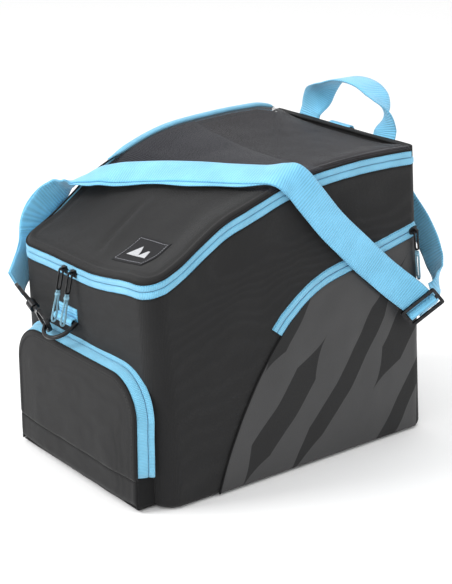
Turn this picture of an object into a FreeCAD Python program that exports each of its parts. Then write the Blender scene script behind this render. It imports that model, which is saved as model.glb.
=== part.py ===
import FreeCAD, Part
import math
import os

V = FreeCAD.Vector

# Ski boot bag. Millimetres. +Z up, the front (boot toes, front pocket) faces -Y and the long side
# with the flat pocket faces +X. The origin is at floor level, at the centre of the base.

# ---- overall sizes -------------------------------------------------------------------------
LENGTH = 400.0          # base, front to rear
WIDTH = 290.0           # base, side to side
FRONT_HEIGHT = 258.0    # lid surface above the floor at the front edge
REAR_HEIGHT = 361.0     # lid surface above the floor at the rear edge
SIDE_LEAN = 0.040       # how far each side wall leans in per millimetre of height
FRONT_LEAN = -0.045     # the stuffed front bulges out over its pocket
REAR_LEAN = 0.045
FRONT_CORNER_R = 26.0   # plan radius of the two front corners
REAR_CORNER_R = 14.0

# ---- wall layers ---------------------------------------------------------------------------
SHELL_T = 2.0           # coated fabric with its backing
FOAM_T = 3.0            # closed-cell foam sheet
LINING_T = 0.8
BOARD_T = 2.5           # stiff sheet in the floor

# ---- lid -----------------------------------------------------------------------------------
LID_T = 4.0
UNDERLAY_T = 1.0
ZIP_TAPE = 8.0          # visible width of one side of a zip
ZIP_TAPE_T = 1.6
ZIP_GAP = 0.6           # between the two sides of a zip
LID_SEAM_SLANT = 57.0   # the cross seam runs this much further back on the right
LID_SEAM_Y = -66.0      # cross seam between the front panel and the mesh, at the centre
UNDERLAY_END_Y = 45.0   # behind this the mesh has nothing under it
REAR_STRIP = 10.0       # sewn strip between the lid's hinge seam and the rear wall's face
SEAM_GAP = 0.5
LABEL_SIZE = (58.0, 42.0)
LABEL_AT = (56.0, -166.0)
LABEL_T = 0.8

# ---- front pocket --------------------------------------------------------------------------
POCKET_DEPTH = 26.0
POCKET_HALF_WIDTH = 124.0
POCKET_TOP = 157.0
POCKET_CORNER_R = 46.0
POCKET_BEVEL = 5.0      # each side of the pocket's zip widens the outline by half of this
POCKET_T = 3.0
POCKET_HINGE_Z = 38.0
POCKET_ZIP_END_Z = 43.0
FLOOR_CLEAR = 3.0

# ---- side pocket ---------------------------------------------------------------------------
SIDE_POCKET_T = 2.5
SIDE_ZIP_REAR = (184.0, 261.0)     # rear end of the zip line, as (y, z) on the side wall
SIDE_ZIP_BEND = (50.0, 232.0)      # where the straight run meets the arc
SIDE_ZIP_FRONT = (-38.0, 178.0)    # front end of the arc
SIDE_SEAM_MID = (-88.0, 92.0)      # front seam, half-way down
SIDE_SEAM_FOOT = (-125.0, 3.0)

# ---- zip sliders, pulls and their cords -----------------------------------------------------
SLIDER_LENGTH = 11.0
SLIDER_WIDTH = 9.0
SLIDER_T = 2.4
BAIL_LENGTH = 8.0
BAIL_WIRE = 1.6
BAIL_HOLE = 2.8
PULL_LENGTH = 27.0
PULL_DEPTH = 7.0
PULL_WIRE = 1.7
PULL_T = 1.8
PULL_PLAY = 0.4
CORD_D = 2.6
CORD_LENGTH = 36.0      # from the pull down to the fold
CORD_BEND_R = 2.6
SLIDER_CLEAR = 0.3
LID_SLIDER_X = (-31.0, -12.0)
POCKET_SLIDER_Z = 84.0
SIDE_SLIDER_FROM_END = 9.0

# ---- webbing and its hardware ---------------------------------------------------------------
STRAP_WIDTH = 40.0
STRAP_T = 1.8
TAB_WIDTH = 38.0
TAB_T = 2.0
TAB_LENGTH = 16.0
TAB_CLEAR = 0.1
HOOK_SLACK = 3.0         # between the ring's wire and the hook's inside
RING_WIRE = 4.4
RING_INSIDE = 40.0
RING_LEG = 8.0
RING_BAR_CLEAR = 0.4
FRONT_TAB_AT = (-31.0, 185.0)      # (x, z) of the front ring's bar
REAR_TAB_AT = (-12.0, 356.0)
FRONT_RING_TILT = 32.0             # degrees below level
REAR_RING_TILT = 60.0
HOOK_IN_R = 7.5
HOOK_OUT_R = 11.5
HOOK_REACH = 12.0                  # between the centres of the hook's two round ends
HOOK_T = 5.0
NECK_LENGTH = 8.0
NECK_WIDTH = 9.0
BARREL_LENGTH = 12.0
BARREL_R = 6.0
SWIVEL_R = 2.6
SWIVEL_CLEAR = 0.15
EYE_REACH = 19.0                   # swivel barrel to the strap bar
EYE_BAR = 4.0
GATE_T = 3.6
GATE_CLEAR = 0.4
GLIDE_T = 3.0
GLIDE_BAR = 4.0
GLIDE_SLOT = 7.0
GLIDE_RIM = 4.0

# ---- grab handle ----------------------------------------------------------------------------
HANDLE_SPREAD = 70.0               # each leg from the centre line
HANDLE_WIDTH = 38.0
HANDLE_T = 2.4
HANDLE_RISE = 62.0                 # above the rear wall
HANDLE_BELOW_TOP = 6.0             # the stitching stops this far below the wall's top
HANDLE_CLEAR = 0.3
HANDLE_GAP = 1.0                   # half the gap between the sewn ends and the loop
HANDLE_SEWN = 48.0                 # length sewn to the rear wall
HANDLE_LEAN = 14.0                 # how far the top of the loop leans back

# The shoulder strap's middle line, from the front hook to the adjuster and from there to the
# rear hook, with the direction of the webbing's width at each point.
STRAP_FRONT = [
    ((-120.2, -225.7, 205.3), (0.22, -0.63, 0.75)),
    ((-129.0, -217.0, 211.5), (0.14, -0.50, 0.86)),
    ((-138.5, -203.5, 221.0), (0.05, -0.48, 0.87)),
    ((-146.0, -189.0, 235.0), (-0.05, -0.68, 0.73)),
    ((-150.0, -182.0, 250.0), (-0.05, -0.88, 0.46)),
    ((-152.0, -179.0, 266.0), (0.0, -0.96, 0.28)),
    ((-152.0, -172.0, 280.0), (0.0, -0.85, 0.53)),
    ((-151.0, -160.0, 291.5), (0.0, -0.66, 0.75)),
    ((-145.5, -146.0, 303.0), (0.15, -0.78, 0.60)),
    ((-139.0, -137.0, 309.5), (0.42, -0.76, 0.36)),
    ((-130.0, -128.0, 315.0), (0.60, -0.79, 0.05)),
    ((-106.0, -112.0, 325.0), (0.52, -0.82, -0.25)),
    ((-78.0, -97.0, 330.0), (0.45, -0.80, -0.40)),
    ((-40.0, -79.0, 336.5), (0.36, -0.84, -0.40)),
    ((4.0, -62.0, 343.0), (0.33, -0.87, -0.36)),
    ((54.0, -45.0, 348.5), (0.30, -0.89, -0.33)),
    ((96.0, -32.0, 354.0), (0.26, -0.90, -0.32)),
    ((122.0, -22.0, 358.5), (0.15, -0.90, -0.38)),
    ((136.0, -11.0, 353.0), (0.05, -0.85, -0.50)),
    ((142.5, 6.0, 331.0), (0.0, -0.75, -0.66)),
    ((143.5, 40.0, 292.0), (0.0, -0.70, -0.71)),
    ((144.5, 82.0, 253.0), (0.0, -0.70, -0.71)),
    ((147.5, 117.0, 220.0), (-0.05, -0.74, -0.67)),
    ((152.0, 145.0, 196.0), (-0.24, -0.84, -0.48)),
    ((157.5, 167.0, 177.0), (-0.44, -0.87, -0.21)),
    ((160.0, 176.0, 166.0), (-0.44, -0.87, -0.21)),
]
STRAP_REAR = [
    ((151.5, 201.0, 180.0), (-0.26, 0.86, -0.44)),
    ((150.0, 209.0, 190.0), (-0.42, 0.58, -0.70)),
    ((142.0, 216.0, 200.0), (-0.60, 0.22, -0.76)),
    ((130.0, 220.0, 215.0), (-0.76, 0.08, -0.64)),
    ((117.0, 221.0, 234.0), (-0.76, 0.0, -0.65)),
    ((101.0, 221.0, 253.0), (-0.71, 0.0, -0.70)),
    ((84.0, 217.0, 272.0), (-0.66, 0.0, -0.75)),
    ((72.0, 211.5, 288.0), (-0.56, -0.02, -0.83)),
    ((64.0, 209.0, 298.5), (-0.50, -0.02, -0.86)),
]


# ---- shared helpers -------------------------------------------------------------------------
def half_width(z, inset=0.0):
    return WIDTH / 2 - SIDE_LEAN * z - inset


def front_y(z, inset=0.0):
    return -LENGTH / 2 + FRONT_LEAN * z + inset


def rear_y(z, inset=0.0):
    return LENGTH / 2 - REAR_LEAN * z - inset


def box(low, high):
    return Part.makeBox(high[0] - low[0], high[1] - low[1], high[2] - low[2], V(*low))


def closed_wire(points):
    return Part.makePolygon(list(points) + [points[0]])


def prism(points, direction):
    return Part.Face(closed_wire(points)).extrude(direction)


def envelope(inset, low=0.0, high=400.0):
    """The bag's leaning box, moved in by inset, with round corners, between two heights."""
    floor = -20.0
    roof = 420.0

    def ring(z):
        x = half_width(z, inset)
        return [V(-x, front_y(z, inset), z), V(x, front_y(z, inset), z),
                V(x, rear_y(z, inset), z), V(-x, rear_y(z, inset), z)]
    bottom = ring(floor)
    top = ring(roof)
    faces = [Part.Face(closed_wire(bottom[::-1])), Part.Face(closed_wire(top))]
    for i in range(4):
        j = (i + 1) % 4
        faces.append(Part.Face(closed_wire([bottom[i], bottom[j], top[j], top[i]])))
    solid = Part.makeSolid(Part.makeShell(faces))
    for at_front, radius in ((True, FRONT_CORNER_R), (False, REAR_CORNER_R)):
        edges = []
        for edge in solid.Edges:
            a = edge.Vertexes[0].Point
            b = edge.Vertexes[1].Point
            if abs(a.z - b.z) > 0.9 * (roof - floor) and (a.y < 0) == at_front:
                edges.append(edge)
        solid = solid.makeFillet(max(radius - inset, 2.0), edges)
    return solid.common(box((-400, -400, low), (400, 400, high)))


def wall_layer(outside, inside, low=0.0):
    return envelope(outside, low).cut(envelope(inside, low - 1.0))


def lid_line(drop=0.0):
    """The lid's side view: low at the front, steep behind it, then nearly level."""
    rise = REAR_HEIGHT - FRONT_HEIGHT
    front = front_y(FRONT_HEIGHT)
    rear = rear_y(REAR_HEIGHT)
    run = rear - front
    shares = [(-0.06, -0.04), (0.0, 0.0), (0.13, 0.21), (0.30, 0.62), (0.52, 0.92), (0.76, 1.01),
              (1.0, 1.0), (1.08, 0.98)]
    points = [V(-400.0, front + run * a, FRONT_HEIGHT + rise * b - drop) for a, b in shares]
    curve = Part.BSplineCurve()
    curve.interpolate(points)
    return curve, points


def under_lid(drop=0.0):
    curve, points = lid_line(drop)
    a = points[0]
    b = points[-1]
    wire = Part.Wire([curve.toShape(),
                      Part.makeLine(b, V(b.x, b.y, -50.0)),
                      Part.makeLine(V(b.x, b.y, -50.0), V(a.x, a.y, -50.0)),
                      Part.makeLine(V(a.x, a.y, -50.0), a)])
    return Part.Face(wire).extrude(V(800.0, 0, 0))


def lid_z(y, drop=0.0):
    """Height of the lid's surface at y."""
    curve, points = lid_line(drop)
    plumb = Part.makeLine(V(points[0].x, y, 0.0), V(points[0].x, y, 900.0))
    return curve.toShape().distToShape(plumb)[1][0][0].z


def lid_band(top, bottom):
    return under_lid(top).cut(under_lid(bottom))


def wedge(side):
    """The part of space that belongs to one wall: its neighbours meet it on the corner's diagonal."""
    w = WIDTH / 2
    d = LENGTH / 2
    out = 60.0
    deep = 100.0
    ring = {"front": [(-w - out, -d - out), (w + out, -d - out), (w - deep, -d + deep), (-w + deep, -d + deep)],
            "rear": [(w + out, d + out), (-w - out, d + out), (-w + deep, d - deep), (w - deep, d - deep)],
            "right": [(w + out, -d - out), (w + out, d + out), (w - deep, d - deep), (w - deep, -d + deep)],
            "left": [(-w - out, d + out), (-w - out, -d - out), (-w + deep, -d + deep), (-w + deep, d - deep)]}
    return prism([V(x, y, -20.0) for x, y in ring[side]], V(0, 0, 600.0))


def frame_placement(origin, along, normal):
    """Local x runs along, local z is the normal, as nearly as it can be."""
    x = V(*along).normalize()
    z = V(*normal)
    z = (z - x * z.dot(x)).normalize()
    y = z.cross(x)
    matrix = FreeCAD.Matrix(x.x, y.x, z.x, origin[0], x.y, y.y, z.y, origin[1],
                            x.z, y.z, z.z, origin[2], 0, 0, 0, 1)
    return FreeCAD.Placement(matrix)


def placed(shape, placement):
    copy = shape.copy()
    copy.Placement = placement.multiply(copy.Placement)
    return copy


def ribbon(stations, width, thickness):
    """A strip of webbing through the stations' centres, flat across each one's width direction."""
    centres = [V(*centre) for centre, across in stations]
    wires = []
    last = None
    for i, (centre, across) in enumerate(stations):
        before = centres[max(i - 1, 0)]
        after = centres[min(i + 1, len(centres) - 1)]
        tangent = (after - before).normalize()
        side = V(*across)
        side = (side - tangent * side.dot(tangent)).normalize()
        if last is not None and side.dot(last) < 0:
            side = side * -1
        last = side
        face = tangent.cross(side)
        a = side * (width / 2)
        b = face * (thickness / 2)
        middle = centres[i]
        wires.append(closed_wire([middle - a - b, middle + a - b, middle + a + b, middle - a + b]))
    strip = Part.makeLoft(wires, True, True)
    return strip if strip.Volume > 0 else strip.reversed()


nodes = {}


# ---- floor and walls ------------------------------------------------------------------------
def make_floor():
    nodes["base_panel"] = envelope(SHELL_T, 0.0, SHELL_T)
    inner = SHELL_T + FOAM_T
    nodes["base_board"] = envelope(inner, SHELL_T, SHELL_T + BOARD_T)


def make_walls():
    zip_drop = LID_T + 2 * ZIP_TAPE + ZIP_GAP
    shell = wall_layer(0.0, SHELL_T)
    foam = wall_layer(SHELL_T, SHELL_T + FOAM_T, SHELL_T)
    for side in ("front", "rear", "left", "right"):
        shell_drop = 0.0 if side == "rear" else zip_drop
        foam_drop = 0.0 if side == "rear" else LID_T + ZIP_GAP
        name = side if side in ("front", "rear") else side + "_side"
        region = wedge(side)
        nodes[name + "_panel"] = shell.common(region).common(under_lid(shell_drop))
        nodes[name + "_foam"] = foam.common(region).common(under_lid(foam_drop))
    inner = SHELL_T + FOAM_T
    floor = SHELL_T + BOARD_T
    skin = envelope(inner, floor).cut(envelope(inner + LINING_T, floor + LINING_T))
    nodes["lining"] = skin.common(under_lid(LID_T + UNDERLAY_T + ZIP_GAP + 2.0))


# ---- lid ------------------------------------------------------------------------------------
def hinge_y():
    return rear_y(REAR_HEIGHT) - REAR_STRIP


def make_lid():
    front_of_hinge = box((-300, -400, 0), (300, hinge_y() - SEAM_GAP, 500))
    slab = envelope(0.0).common(lid_band(0.0, LID_T)).common(front_of_hinge)
    slant = LID_SEAM_SLANT / WIDTH
    ahead = prism([V(-300, LID_SEAM_Y - 300 * slant, 0), V(300, LID_SEAM_Y + 300 * slant, 0),
                   V(300, -400, 0), V(-300, -400, 0)], V(0, 0, 500))
    nodes["lid_front_panel"] = slab.common(ahead)
    nodes["lid_mesh_panel"] = slab.cut(ahead)
    inside = envelope(SHELL_T + FOAM_T + 1.0)
    covered = box((-300, -400, 0), (300, UNDERLAY_END_Y, 500))
    nodes["lid_underlay"] = inside.common(lid_band(LID_T, LID_T + UNDERLAY_T)).common(covered)

    rim = wall_layer(0.0, ZIP_TAPE_T).common(front_of_hinge)
    nodes["lid_zip_upper_tape"] = rim.common(lid_band(LID_T, LID_T + ZIP_TAPE))
    lower_top = LID_T + ZIP_TAPE + ZIP_GAP
    body_rim = wall_layer(0.0, ZIP_TAPE_T).cut(wedge("rear"))
    nodes["lid_zip_lower_tape"] = body_rim.common(lid_band(lower_top, lower_top + ZIP_TAPE))

    half_x = LABEL_SIZE[0] / 2
    half_y = LABEL_SIZE[1] / 2
    patch = box((LABEL_AT[0] - half_x, LABEL_AT[1] - half_y, 0), (LABEL_AT[0] + half_x, LABEL_AT[1] + half_y, 500))
    nodes["label_patch"] = patch.common(lid_band(-LABEL_T, 0.0))

    strip = envelope(SHELL_T + FOAM_T).common(lid_band(0.0, LID_T))
    nodes["rear_edge_strip"] = strip.common(box((-300, hinge_y(), 0), (300, 400, 500)))


# ---- front pocket ---------------------------------------------------------------------------
def arch(y, grow, bottom):
    """The pocket's outline in the plane y: upright sides, two round corners and a level top."""
    x = POCKET_HALF_WIDTH + grow
    top = POCKET_TOP + grow
    r = POCKET_CORNER_R + grow
    k = r * (1 - math.sqrt(0.5))
    return Part.Wire([
        Part.makeLine(V(-x, y, bottom), V(-x, y, top - r)),
        Part.Arc(V(-x, y, top - r), V(-x + k, y, top - k), V(-x + r, y, top)).toShape(),
        Part.makeLine(V(-x + r, y, top), V(x - r, y, top)),
        Part.Arc(V(x - r, y, top), V(x - k, y, top - k), V(x, y, top - r)).toShape(),
        Part.makeLine(V(x, y, top - r), V(x, y, bottom)),
        Part.makeLine(V(x, y, bottom), V(-x, y, bottom))])


def pocket_band(y_out, grow_out, y_in, grow_in):
    """One side of the pocket's zip: a strip round the outline that widens towards the bag."""
    bottom = 0.0
    outer = Part.makeLoft([arch(y_out, grow_out, bottom), arch(y_in, grow_in, bottom)], True, True)
    inner = Part.makeLoft([arch(y_out - 1, grow_out - ZIP_TAPE_T, bottom - 5),
                           arch(y_in + 1, grow_in - ZIP_TAPE_T, bottom - 5)], True, True)
    band = outer.cut(inner)
    return band.common(box((-300, -400, POCKET_ZIP_END_Z), (300, 0, 400)))


def pocket_face_y():
    return -LENGTH / 2 - POCKET_DEPTH


def make_front_pocket():
    face = pocket_face_y()
    middle = face + POCKET_T + (POCKET_DEPTH - POCKET_T) / 2
    out = face + POCKET_T
    bag = envelope(0.0)
    slab = Part.Face(arch(face, 0.0, FLOOR_CLEAR)).extrude(V(0, POCKET_T, 0))
    above = box((-300, -400, POCKET_HINGE_Z + ZIP_GAP / 2), (300, 0, 400))
    below = box((-300, -400, 0), (300, 0, POCKET_HINGE_Z - ZIP_GAP / 2))
    nodes["front_pocket_flap"] = slab.common(above)
    x = POCKET_HALF_WIDTH
    floor = box((-x, out, FLOOR_CLEAR), (x, -LENGTH / 2 + 5, FLOOR_CLEAR + SHELL_T)).cut(bag)
    nodes["front_pocket_base"] = slab.common(below).fuse(floor).removeSplitter()
    half = POCKET_BEVEL
    nodes["front_pocket_zip_outer_tape"] = pocket_band(out, 0.0, middle - ZIP_GAP / 2, half)
    inner_tape = pocket_band(middle + ZIP_GAP / 2, half, -LENGTH / 2 + 6, 2 * half)
    nodes["front_pocket_zip_inner_tape"] = inner_tape.cut(bag)
    tabs = []
    for sign in (-1, 1):
        low_x = x - SHELL_T if sign > 0 else -x
        ends = box((low_x, out, FLOOR_CLEAR + SHELL_T), (low_x + SHELL_T, -LENGTH / 2 + 5, POCKET_ZIP_END_Z - ZIP_GAP))
        tabs.append(ends.cut(bag))
    nodes["front_pocket_end_tabs"] = Part.makeCompound(tabs)


# ---- side pocket ----------------------------------------------------------------------------
def side_zip_geometry():
    """The zip line on the side wall: an arc that runs on into a straight line, tangent to it."""
    bend = V(0, *SIDE_ZIP_BEND)
    rear = V(0, *SIDE_ZIP_REAR)
    front = V(0, *SIDE_ZIP_FRONT)
    along = (rear - bend).normalize()
    down = V(0, along.z, -along.y)
    back = front - bend
    radius = back.dot(back) / (2 * back.dot(down))
    centre = bend + down * radius
    return bend, rear, front, along, down, radius, centre


def zip_line(offset):
    """The zip line moved out from the pocket by offset: the arc's two ends and middle, and the rear end."""
    bend, rear, front, along, down, radius, centre = side_zip_geometry()
    r = radius + offset
    start = centre + (front - centre).normalize() * r
    corner = centre - down * r
    middle = centre + ((start - centre) + (corner - centre)).normalize() * r
    return start, middle, corner, rear - down * offset


def zip_strip(low, high):
    a0, a1, a2, a3 = zip_line(low)
    b0, b1, b2, b3 = zip_line(high)
    wire = Part.Wire([Part.Arc(a0, a1, a2).toShape(), Part.makeLine(a2, a3), Part.makeLine(a3, b3),
                      Part.makeLine(b3, b2), Part.Arc(b2, b1, b0).toShape(), Part.makeLine(b0, a0)])
    return Part.Face(wire).extrude(V(400, 0, 0)).common(wedge("right"))


def make_side_pocket():
    gap = ZIP_GAP / 2
    a0, a1, a2, a3 = zip_line(-ZIP_TAPE - gap)
    foot = V(0, *SIDE_SEAM_FOOT)
    mid = V(0, *SIDE_SEAM_MID)
    rear_foot = V(0, rear_y(0) - REAR_CORNER_R, SIDE_SEAM_FOOT[1])
    wire = Part.Wire([Part.Arc(a0, a1, a2).toShape(), Part.makeLine(a2, a3), Part.makeLine(a3, rear_foot),
                      Part.makeLine(rear_foot, foot), Part.Arc(foot, mid, a0).toShape()])
    outline = Part.Face(wire).extrude(V(400, 0, 0)).common(wedge("right"))
    nodes["side_pocket_panel"] = wall_layer(-SIDE_POCKET_T, 0.0).common(outline)
    tape_layer = wall_layer(-ZIP_TAPE_T, 0.0)
    nodes["side_pocket_zip_lower_tape"] = tape_layer.common(zip_strip(-ZIP_TAPE - gap, -gap))
    nodes["side_pocket_zip_upper_tape"] = tape_layer.common(zip_strip(gap, ZIP_TAPE + gap))


# ---- zip sliders ----------------------------------------------------------------------------
def slider_shape():
    """Local x runs along the zip, z away from it. The bail is a small arch on the top face."""
    half = SLIDER_LENGTH / 2
    side = SLIDER_WIDTH / 2
    outline = [V(-half, -side * 0.62, 0), V(-half * 0.2, -side, 0), V(half, -side, 0), V(half, side, 0),
               V(-half * 0.2, side, 0), V(-half, side * 0.62, 0)]
    plate = prism(outline, V(0, 0, SLIDER_T))
    arch_box = box((-BAIL_LENGTH / 2, -BAIL_WIRE / 2, SLIDER_T - 0.2),
                   (BAIL_LENGTH / 2, BAIL_WIRE / 2, SLIDER_T + BAIL_HOLE + BAIL_WIRE))
    hole = box((-BAIL_LENGTH / 2 + BAIL_WIRE, -5, SLIDER_T), (BAIL_LENGTH / 2 - BAIL_WIRE, 5, SLIDER_T + BAIL_HOLE))
    return plate.fuse(arch_box.cut(hole)).removeSplitter()


def bail_height():
    return SLIDER_T + BAIL_HOLE + BAIL_WIRE / 2


def stadium(length, width, thickness):
    """A flat plate with round ends: local x from -width/2 to length - width/2, z centred."""
    r = width / 2
    reach = length - width
    low = V(0, 0, -thickness / 2)
    plate = Part.makeCylinder(r, thickness, low).fuse(Part.makeCylinder(r, thickness, low + V(reach, 0, 0)))
    return plate.fuse(box((0, -r, -thickness / 2), (reach, r, thickness / 2))).removeSplitter()


def pull_shape():
    """A long wire loop. Its hanging end is +x; the loop's end round the bail is at the origin."""
    hole_r = PULL_DEPTH / 2 - PULL_WIRE
    outer = stadium(PULL_LENGTH, PULL_DEPTH, PULL_T)
    inner = stadium(PULL_LENGTH - 2 * PULL_WIRE, 2 * hole_r, PULL_T + 2)
    loop = outer.cut(inner)
    loop.translate(V(hole_r - BAIL_WIRE / 2 - PULL_PLAY, 0, 0))
    return loop


def pull_end():
    """Local x of the loop's far end."""
    return PULL_LENGTH - PULL_DEPTH / 2 + (PULL_DEPTH / 2 - PULL_WIRE) - BAIL_WIRE / 2 - PULL_PLAY


def cord_shape():
    """Two strands side by side with a fold at the bottom, hanging along +x from the pull's end."""
    start = pull_end() + SLIDER_CLEAR
    r = CORD_BEND_R
    end = start + CORD_LENGTH
    path = Part.Wire([Part.makeLine(V(start, -r, 0), V(end - r, -r, 0)),
                      Part.Arc(V(end - r, -r, 0), V(end, 0, 0), V(end - r, r, 0)).toShape(),
                      Part.makeLine(V(end - r, r, 0), V(start, r, 0))])
    section = Part.Wire(Part.makeCircle(CORD_D / 2, V(start, -r, 0), V(1, 0, 0)))
    tube = path.makePipeShell([section], True, True)
    expected = math.pi * (CORD_D / 2) ** 2 * path.Length
    print("cord volume", round(tube.Volume, 1), "expected", round(expected, 1), "bend radius", r)
    return tube


def add_slider(name, at, along, normal, hang, clear=SLIDER_CLEAR):
    """A slider on the face of its zip, with a pull that hangs along hang and its cord.

    On a level zip the pull's loop goes round the bail's bar. On an upright one it lies flat and
    goes round the bail's lower leg.
    """
    out = V(*normal).normalize()
    run = V(*along).normalize()
    down = V(*hang).normalize()
    base = V(*at) + out * clear
    nodes[name + "_slider"] = placed(slider_shape(), frame_placement(tuple(base), along, normal))
    if abs(run.dot(down)) > 0.9:
        leg = base + out * (SLIDER_T + BAIL_HOLE / 2) + down * (BAIL_LENGTH - BAIL_WIRE) / 2
        hanging = frame_placement(tuple(leg), hang, normal)
        pivot = leg - down * (BAIL_WIRE / 2 + PULL_PLAY + PULL_WIRE / 2)
        axis = out.cross(down)
    else:
        pivot = base + out * bail_height()
        hanging = frame_placement(tuple(pivot), hang, along)
        axis = run
    nodes[name + "_pull"] = placed(pull_shape(), hanging)
    nodes[name + "_pull_cord"] = placed(cord_shape(), hanging)
    print(name, "slider at", [round(v, 2) for v in base], "pull pivot", [round(v, 2) for v in pivot],
          "axis", [round(v, 4) for v in axis])
    for step in (0.0, CORD_LENGTH):
        point = hanging.multVec(V(pull_end() + SLIDER_CLEAR + step, 0, 0))
        print("   cord at", [round(v, 2) for v in point])


def make_sliders():
    joint_drop = LID_T + ZIP_TAPE + ZIP_GAP / 2
    edge_z = lid_z(front_y(FRONT_HEIGHT)) - joint_drop
    names = ("lid_left", "lid_right")
    for name, x in zip(names, LID_SLIDER_X):
        add_slider(name, (x, front_y(edge_z), edge_z), (1, 0, 0), (0, -1, FRONT_LEAN), (0, -0.22, -0.975))

    middle = pocket_face_y() + POCKET_T + (POCKET_DEPTH - POCKET_T) / 2
    x = -(POCKET_HALF_WIDTH + POCKET_BEVEL)
    depth = (POCKET_DEPTH - POCKET_T) / 2
    normal = (-depth, -POCKET_BEVEL, 0)
    add_slider("front_pocket", (x, middle, POCKET_SLIDER_Z), (0, 0, 1), normal, (0, 0, -1), clear=1.0)

    bend, rear, front, along, down, radius, centre = side_zip_geometry()
    at = rear - along * SIDE_SLIDER_FROM_END
    on_wall = (half_width(at.z, -ZIP_TAPE_T), at.y, at.z)
    add_slider("side_pocket", on_wall, (0, along.y, along.z), (1, 0, SIDE_LEAN), (0.04, 0.10, -0.99))
    print("side zip direction", [round(v, 4) for v in along])


# ---- rings, hooks and webbing ---------------------------------------------------------------
def ring_shape():
    """A D: the bar lies on local y at the origin and the bow reaches along +x."""
    half = RING_INSIDE / 2
    w = RING_WIRE

    def d_plate(grow, thickness):
        r = half + grow
        bow = Part.makeCylinder(r, thickness, V(RING_LEG, 0, -thickness / 2))
        bow = bow.common(box((RING_LEG, -r, -thickness), (RING_LEG + r + 1, r, thickness)))
        legs = box((w / 2 - grow, -r, -thickness / 2), (RING_LEG, r, thickness / 2))
        return bow.fuse(legs).removeSplitter()
    ring = d_plate(w, w).cut(d_plate(0.0, w + 2))
    long_edges = [e for e in ring.Edges if abs(e.Vertexes[0].Point.z) > w / 2 - 0.01 and e.Length > 2
                  and abs(e.Vertexes[0].Point.z - e.Vertexes[-1].Point.z) < 0.01]
    return ring.makeFillet(w * 0.28, long_edges)


def tab_shape():
    """Webbing folded round the ring's bar. Local y is its width, x away from the wall, z along its tail."""
    inner = RING_WIRE * math.sqrt(0.5) + RING_BAR_CLEAR
    outer = inner + TAB_T
    roll = Part.makeCylinder(outer, TAB_WIDTH, V(0, -TAB_WIDTH / 2, 0), V(0, 1, 0))
    tail = box((-outer, -TAB_WIDTH / 2, -TAB_LENGTH), (-outer + TAB_T, TAB_WIDTH / 2, 0))
    bore = Part.makeCylinder(inner, TAB_WIDTH + 2, V(0, -TAB_WIDTH / 2 - 1, 0), V(0, 1, 0))
    return roll.fuse(tail).cut(bore).removeSplitter()


def tab_outer():
    return RING_WIRE * math.sqrt(0.5) + RING_BAR_CLEAR + TAB_T


def hook_shape():
    """Local x runs to the hook's tip from the swivel, z is across its plate; the origin is the tip's centre."""
    outer = stadium(HOOK_REACH + 2 * HOOK_OUT_R, 2 * HOOK_OUT_R, HOOK_T)
    inner = stadium(HOOK_REACH + 2 * HOOK_IN_R, 2 * HOOK_IN_R, HOOK_T + 2)
    plate = outer.cut(inner)
    plate.translate(V(-HOOK_REACH, 0, 0))
    opening = box((-HOOK_REACH - 1.0, HOOK_IN_R - 2.5, -HOOK_T), (3.2, HOOK_OUT_R + 2, HOOK_T))
    plate = plate.cut(opening)
    neck_start = -HOOK_REACH - HOOK_IN_R - 1.0
    head_room = 3.4
    barrel_x = neck_start - NECK_LENGTH
    neck = box((barrel_x - 0.5, -NECK_WIDTH / 2, -HOOK_T / 2), (neck_start, NECK_WIDTH / 2, HOOK_T / 2))
    barrel = Part.makeCylinder(BARREL_R, BARREL_LENGTH, V(barrel_x - BARREL_LENGTH, 0, 0), V(1, 0, 0))
    bore = Part.makeCylinder(SWIVEL_R + SWIVEL_CLEAR, BARREL_LENGTH + 1, V(barrel_x - BARREL_LENGTH - 1, 0, 0),
                             V(1, 0, 0))
    pocket = Part.makeCylinder(SWIVEL_R + 1.6, head_room, V(barrel_x - 4.5, 0, 0), V(1, 0, 0))
    return plate.fuse(neck).fuse(barrel).cut(bore).cut(pocket).removeSplitter()


def barrel_mouth():
    return -HOOK_REACH - HOOK_IN_R - 1.0 - NECK_LENGTH - BARREL_LENGTH


def eye_shape():
    """The strap's loop with its swivel pin, which turns in the hook's barrel."""
    mouth = barrel_mouth() - SWIVEL_CLEAR
    half = STRAP_WIDTH * 0.36
    bar_x = mouth - EYE_REACH
    outer = prism([V(mouth, -5.0, -EYE_BAR / 2), V(bar_x + 4, -half - EYE_BAR, -EYE_BAR / 2),
                   V(bar_x - EYE_BAR / 2, -half - EYE_BAR, -EYE_BAR / 2),
                   V(bar_x - EYE_BAR / 2, half + EYE_BAR, -EYE_BAR / 2),
                   V(bar_x + 4, half + EYE_BAR, -EYE_BAR / 2), V(mouth, 5.0, -EYE_BAR / 2)], V(0, 0, EYE_BAR))
    inner = prism([V(mouth - 4.5, -2.0, -5), V(bar_x + 5, -half, -5), V(bar_x + EYE_BAR / 2, -half, -5),
                   V(bar_x + EYE_BAR / 2, half, -5), V(bar_x + 5, half, -5), V(mouth - 4.5, 2.0, -5)], V(0, 0, 10))
    pin_length = BARREL_LENGTH - 4.5 + 0.6
    pin = Part.makeCylinder(SWIVEL_R, pin_length + 1, V(mouth - 1, 0, 0), V(1, 0, 0))
    head = Part.makeCylinder(SWIVEL_R + 1.2, 1.8, V(mouth + pin_length, 0, 0), V(1, 0, 0))
    return outer.cut(inner).fuse(pin).fuse(head).removeSplitter()


def gate_pivot():
    return V(-HOOK_REACH + 1.0, (HOOK_IN_R + HOOK_OUT_R) / 2, 0)


def gate_shape():
    """A straight tongue that closes the hook's open side."""
    low = HOOK_IN_R + 0.4
    high = HOOK_OUT_R - 0.4
    return box((-HOOK_REACH - 1.0 + GATE_CLEAR, low, -GATE_T / 2), (3.2 - GATE_CLEAR, high, GATE_T / 2))


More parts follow.
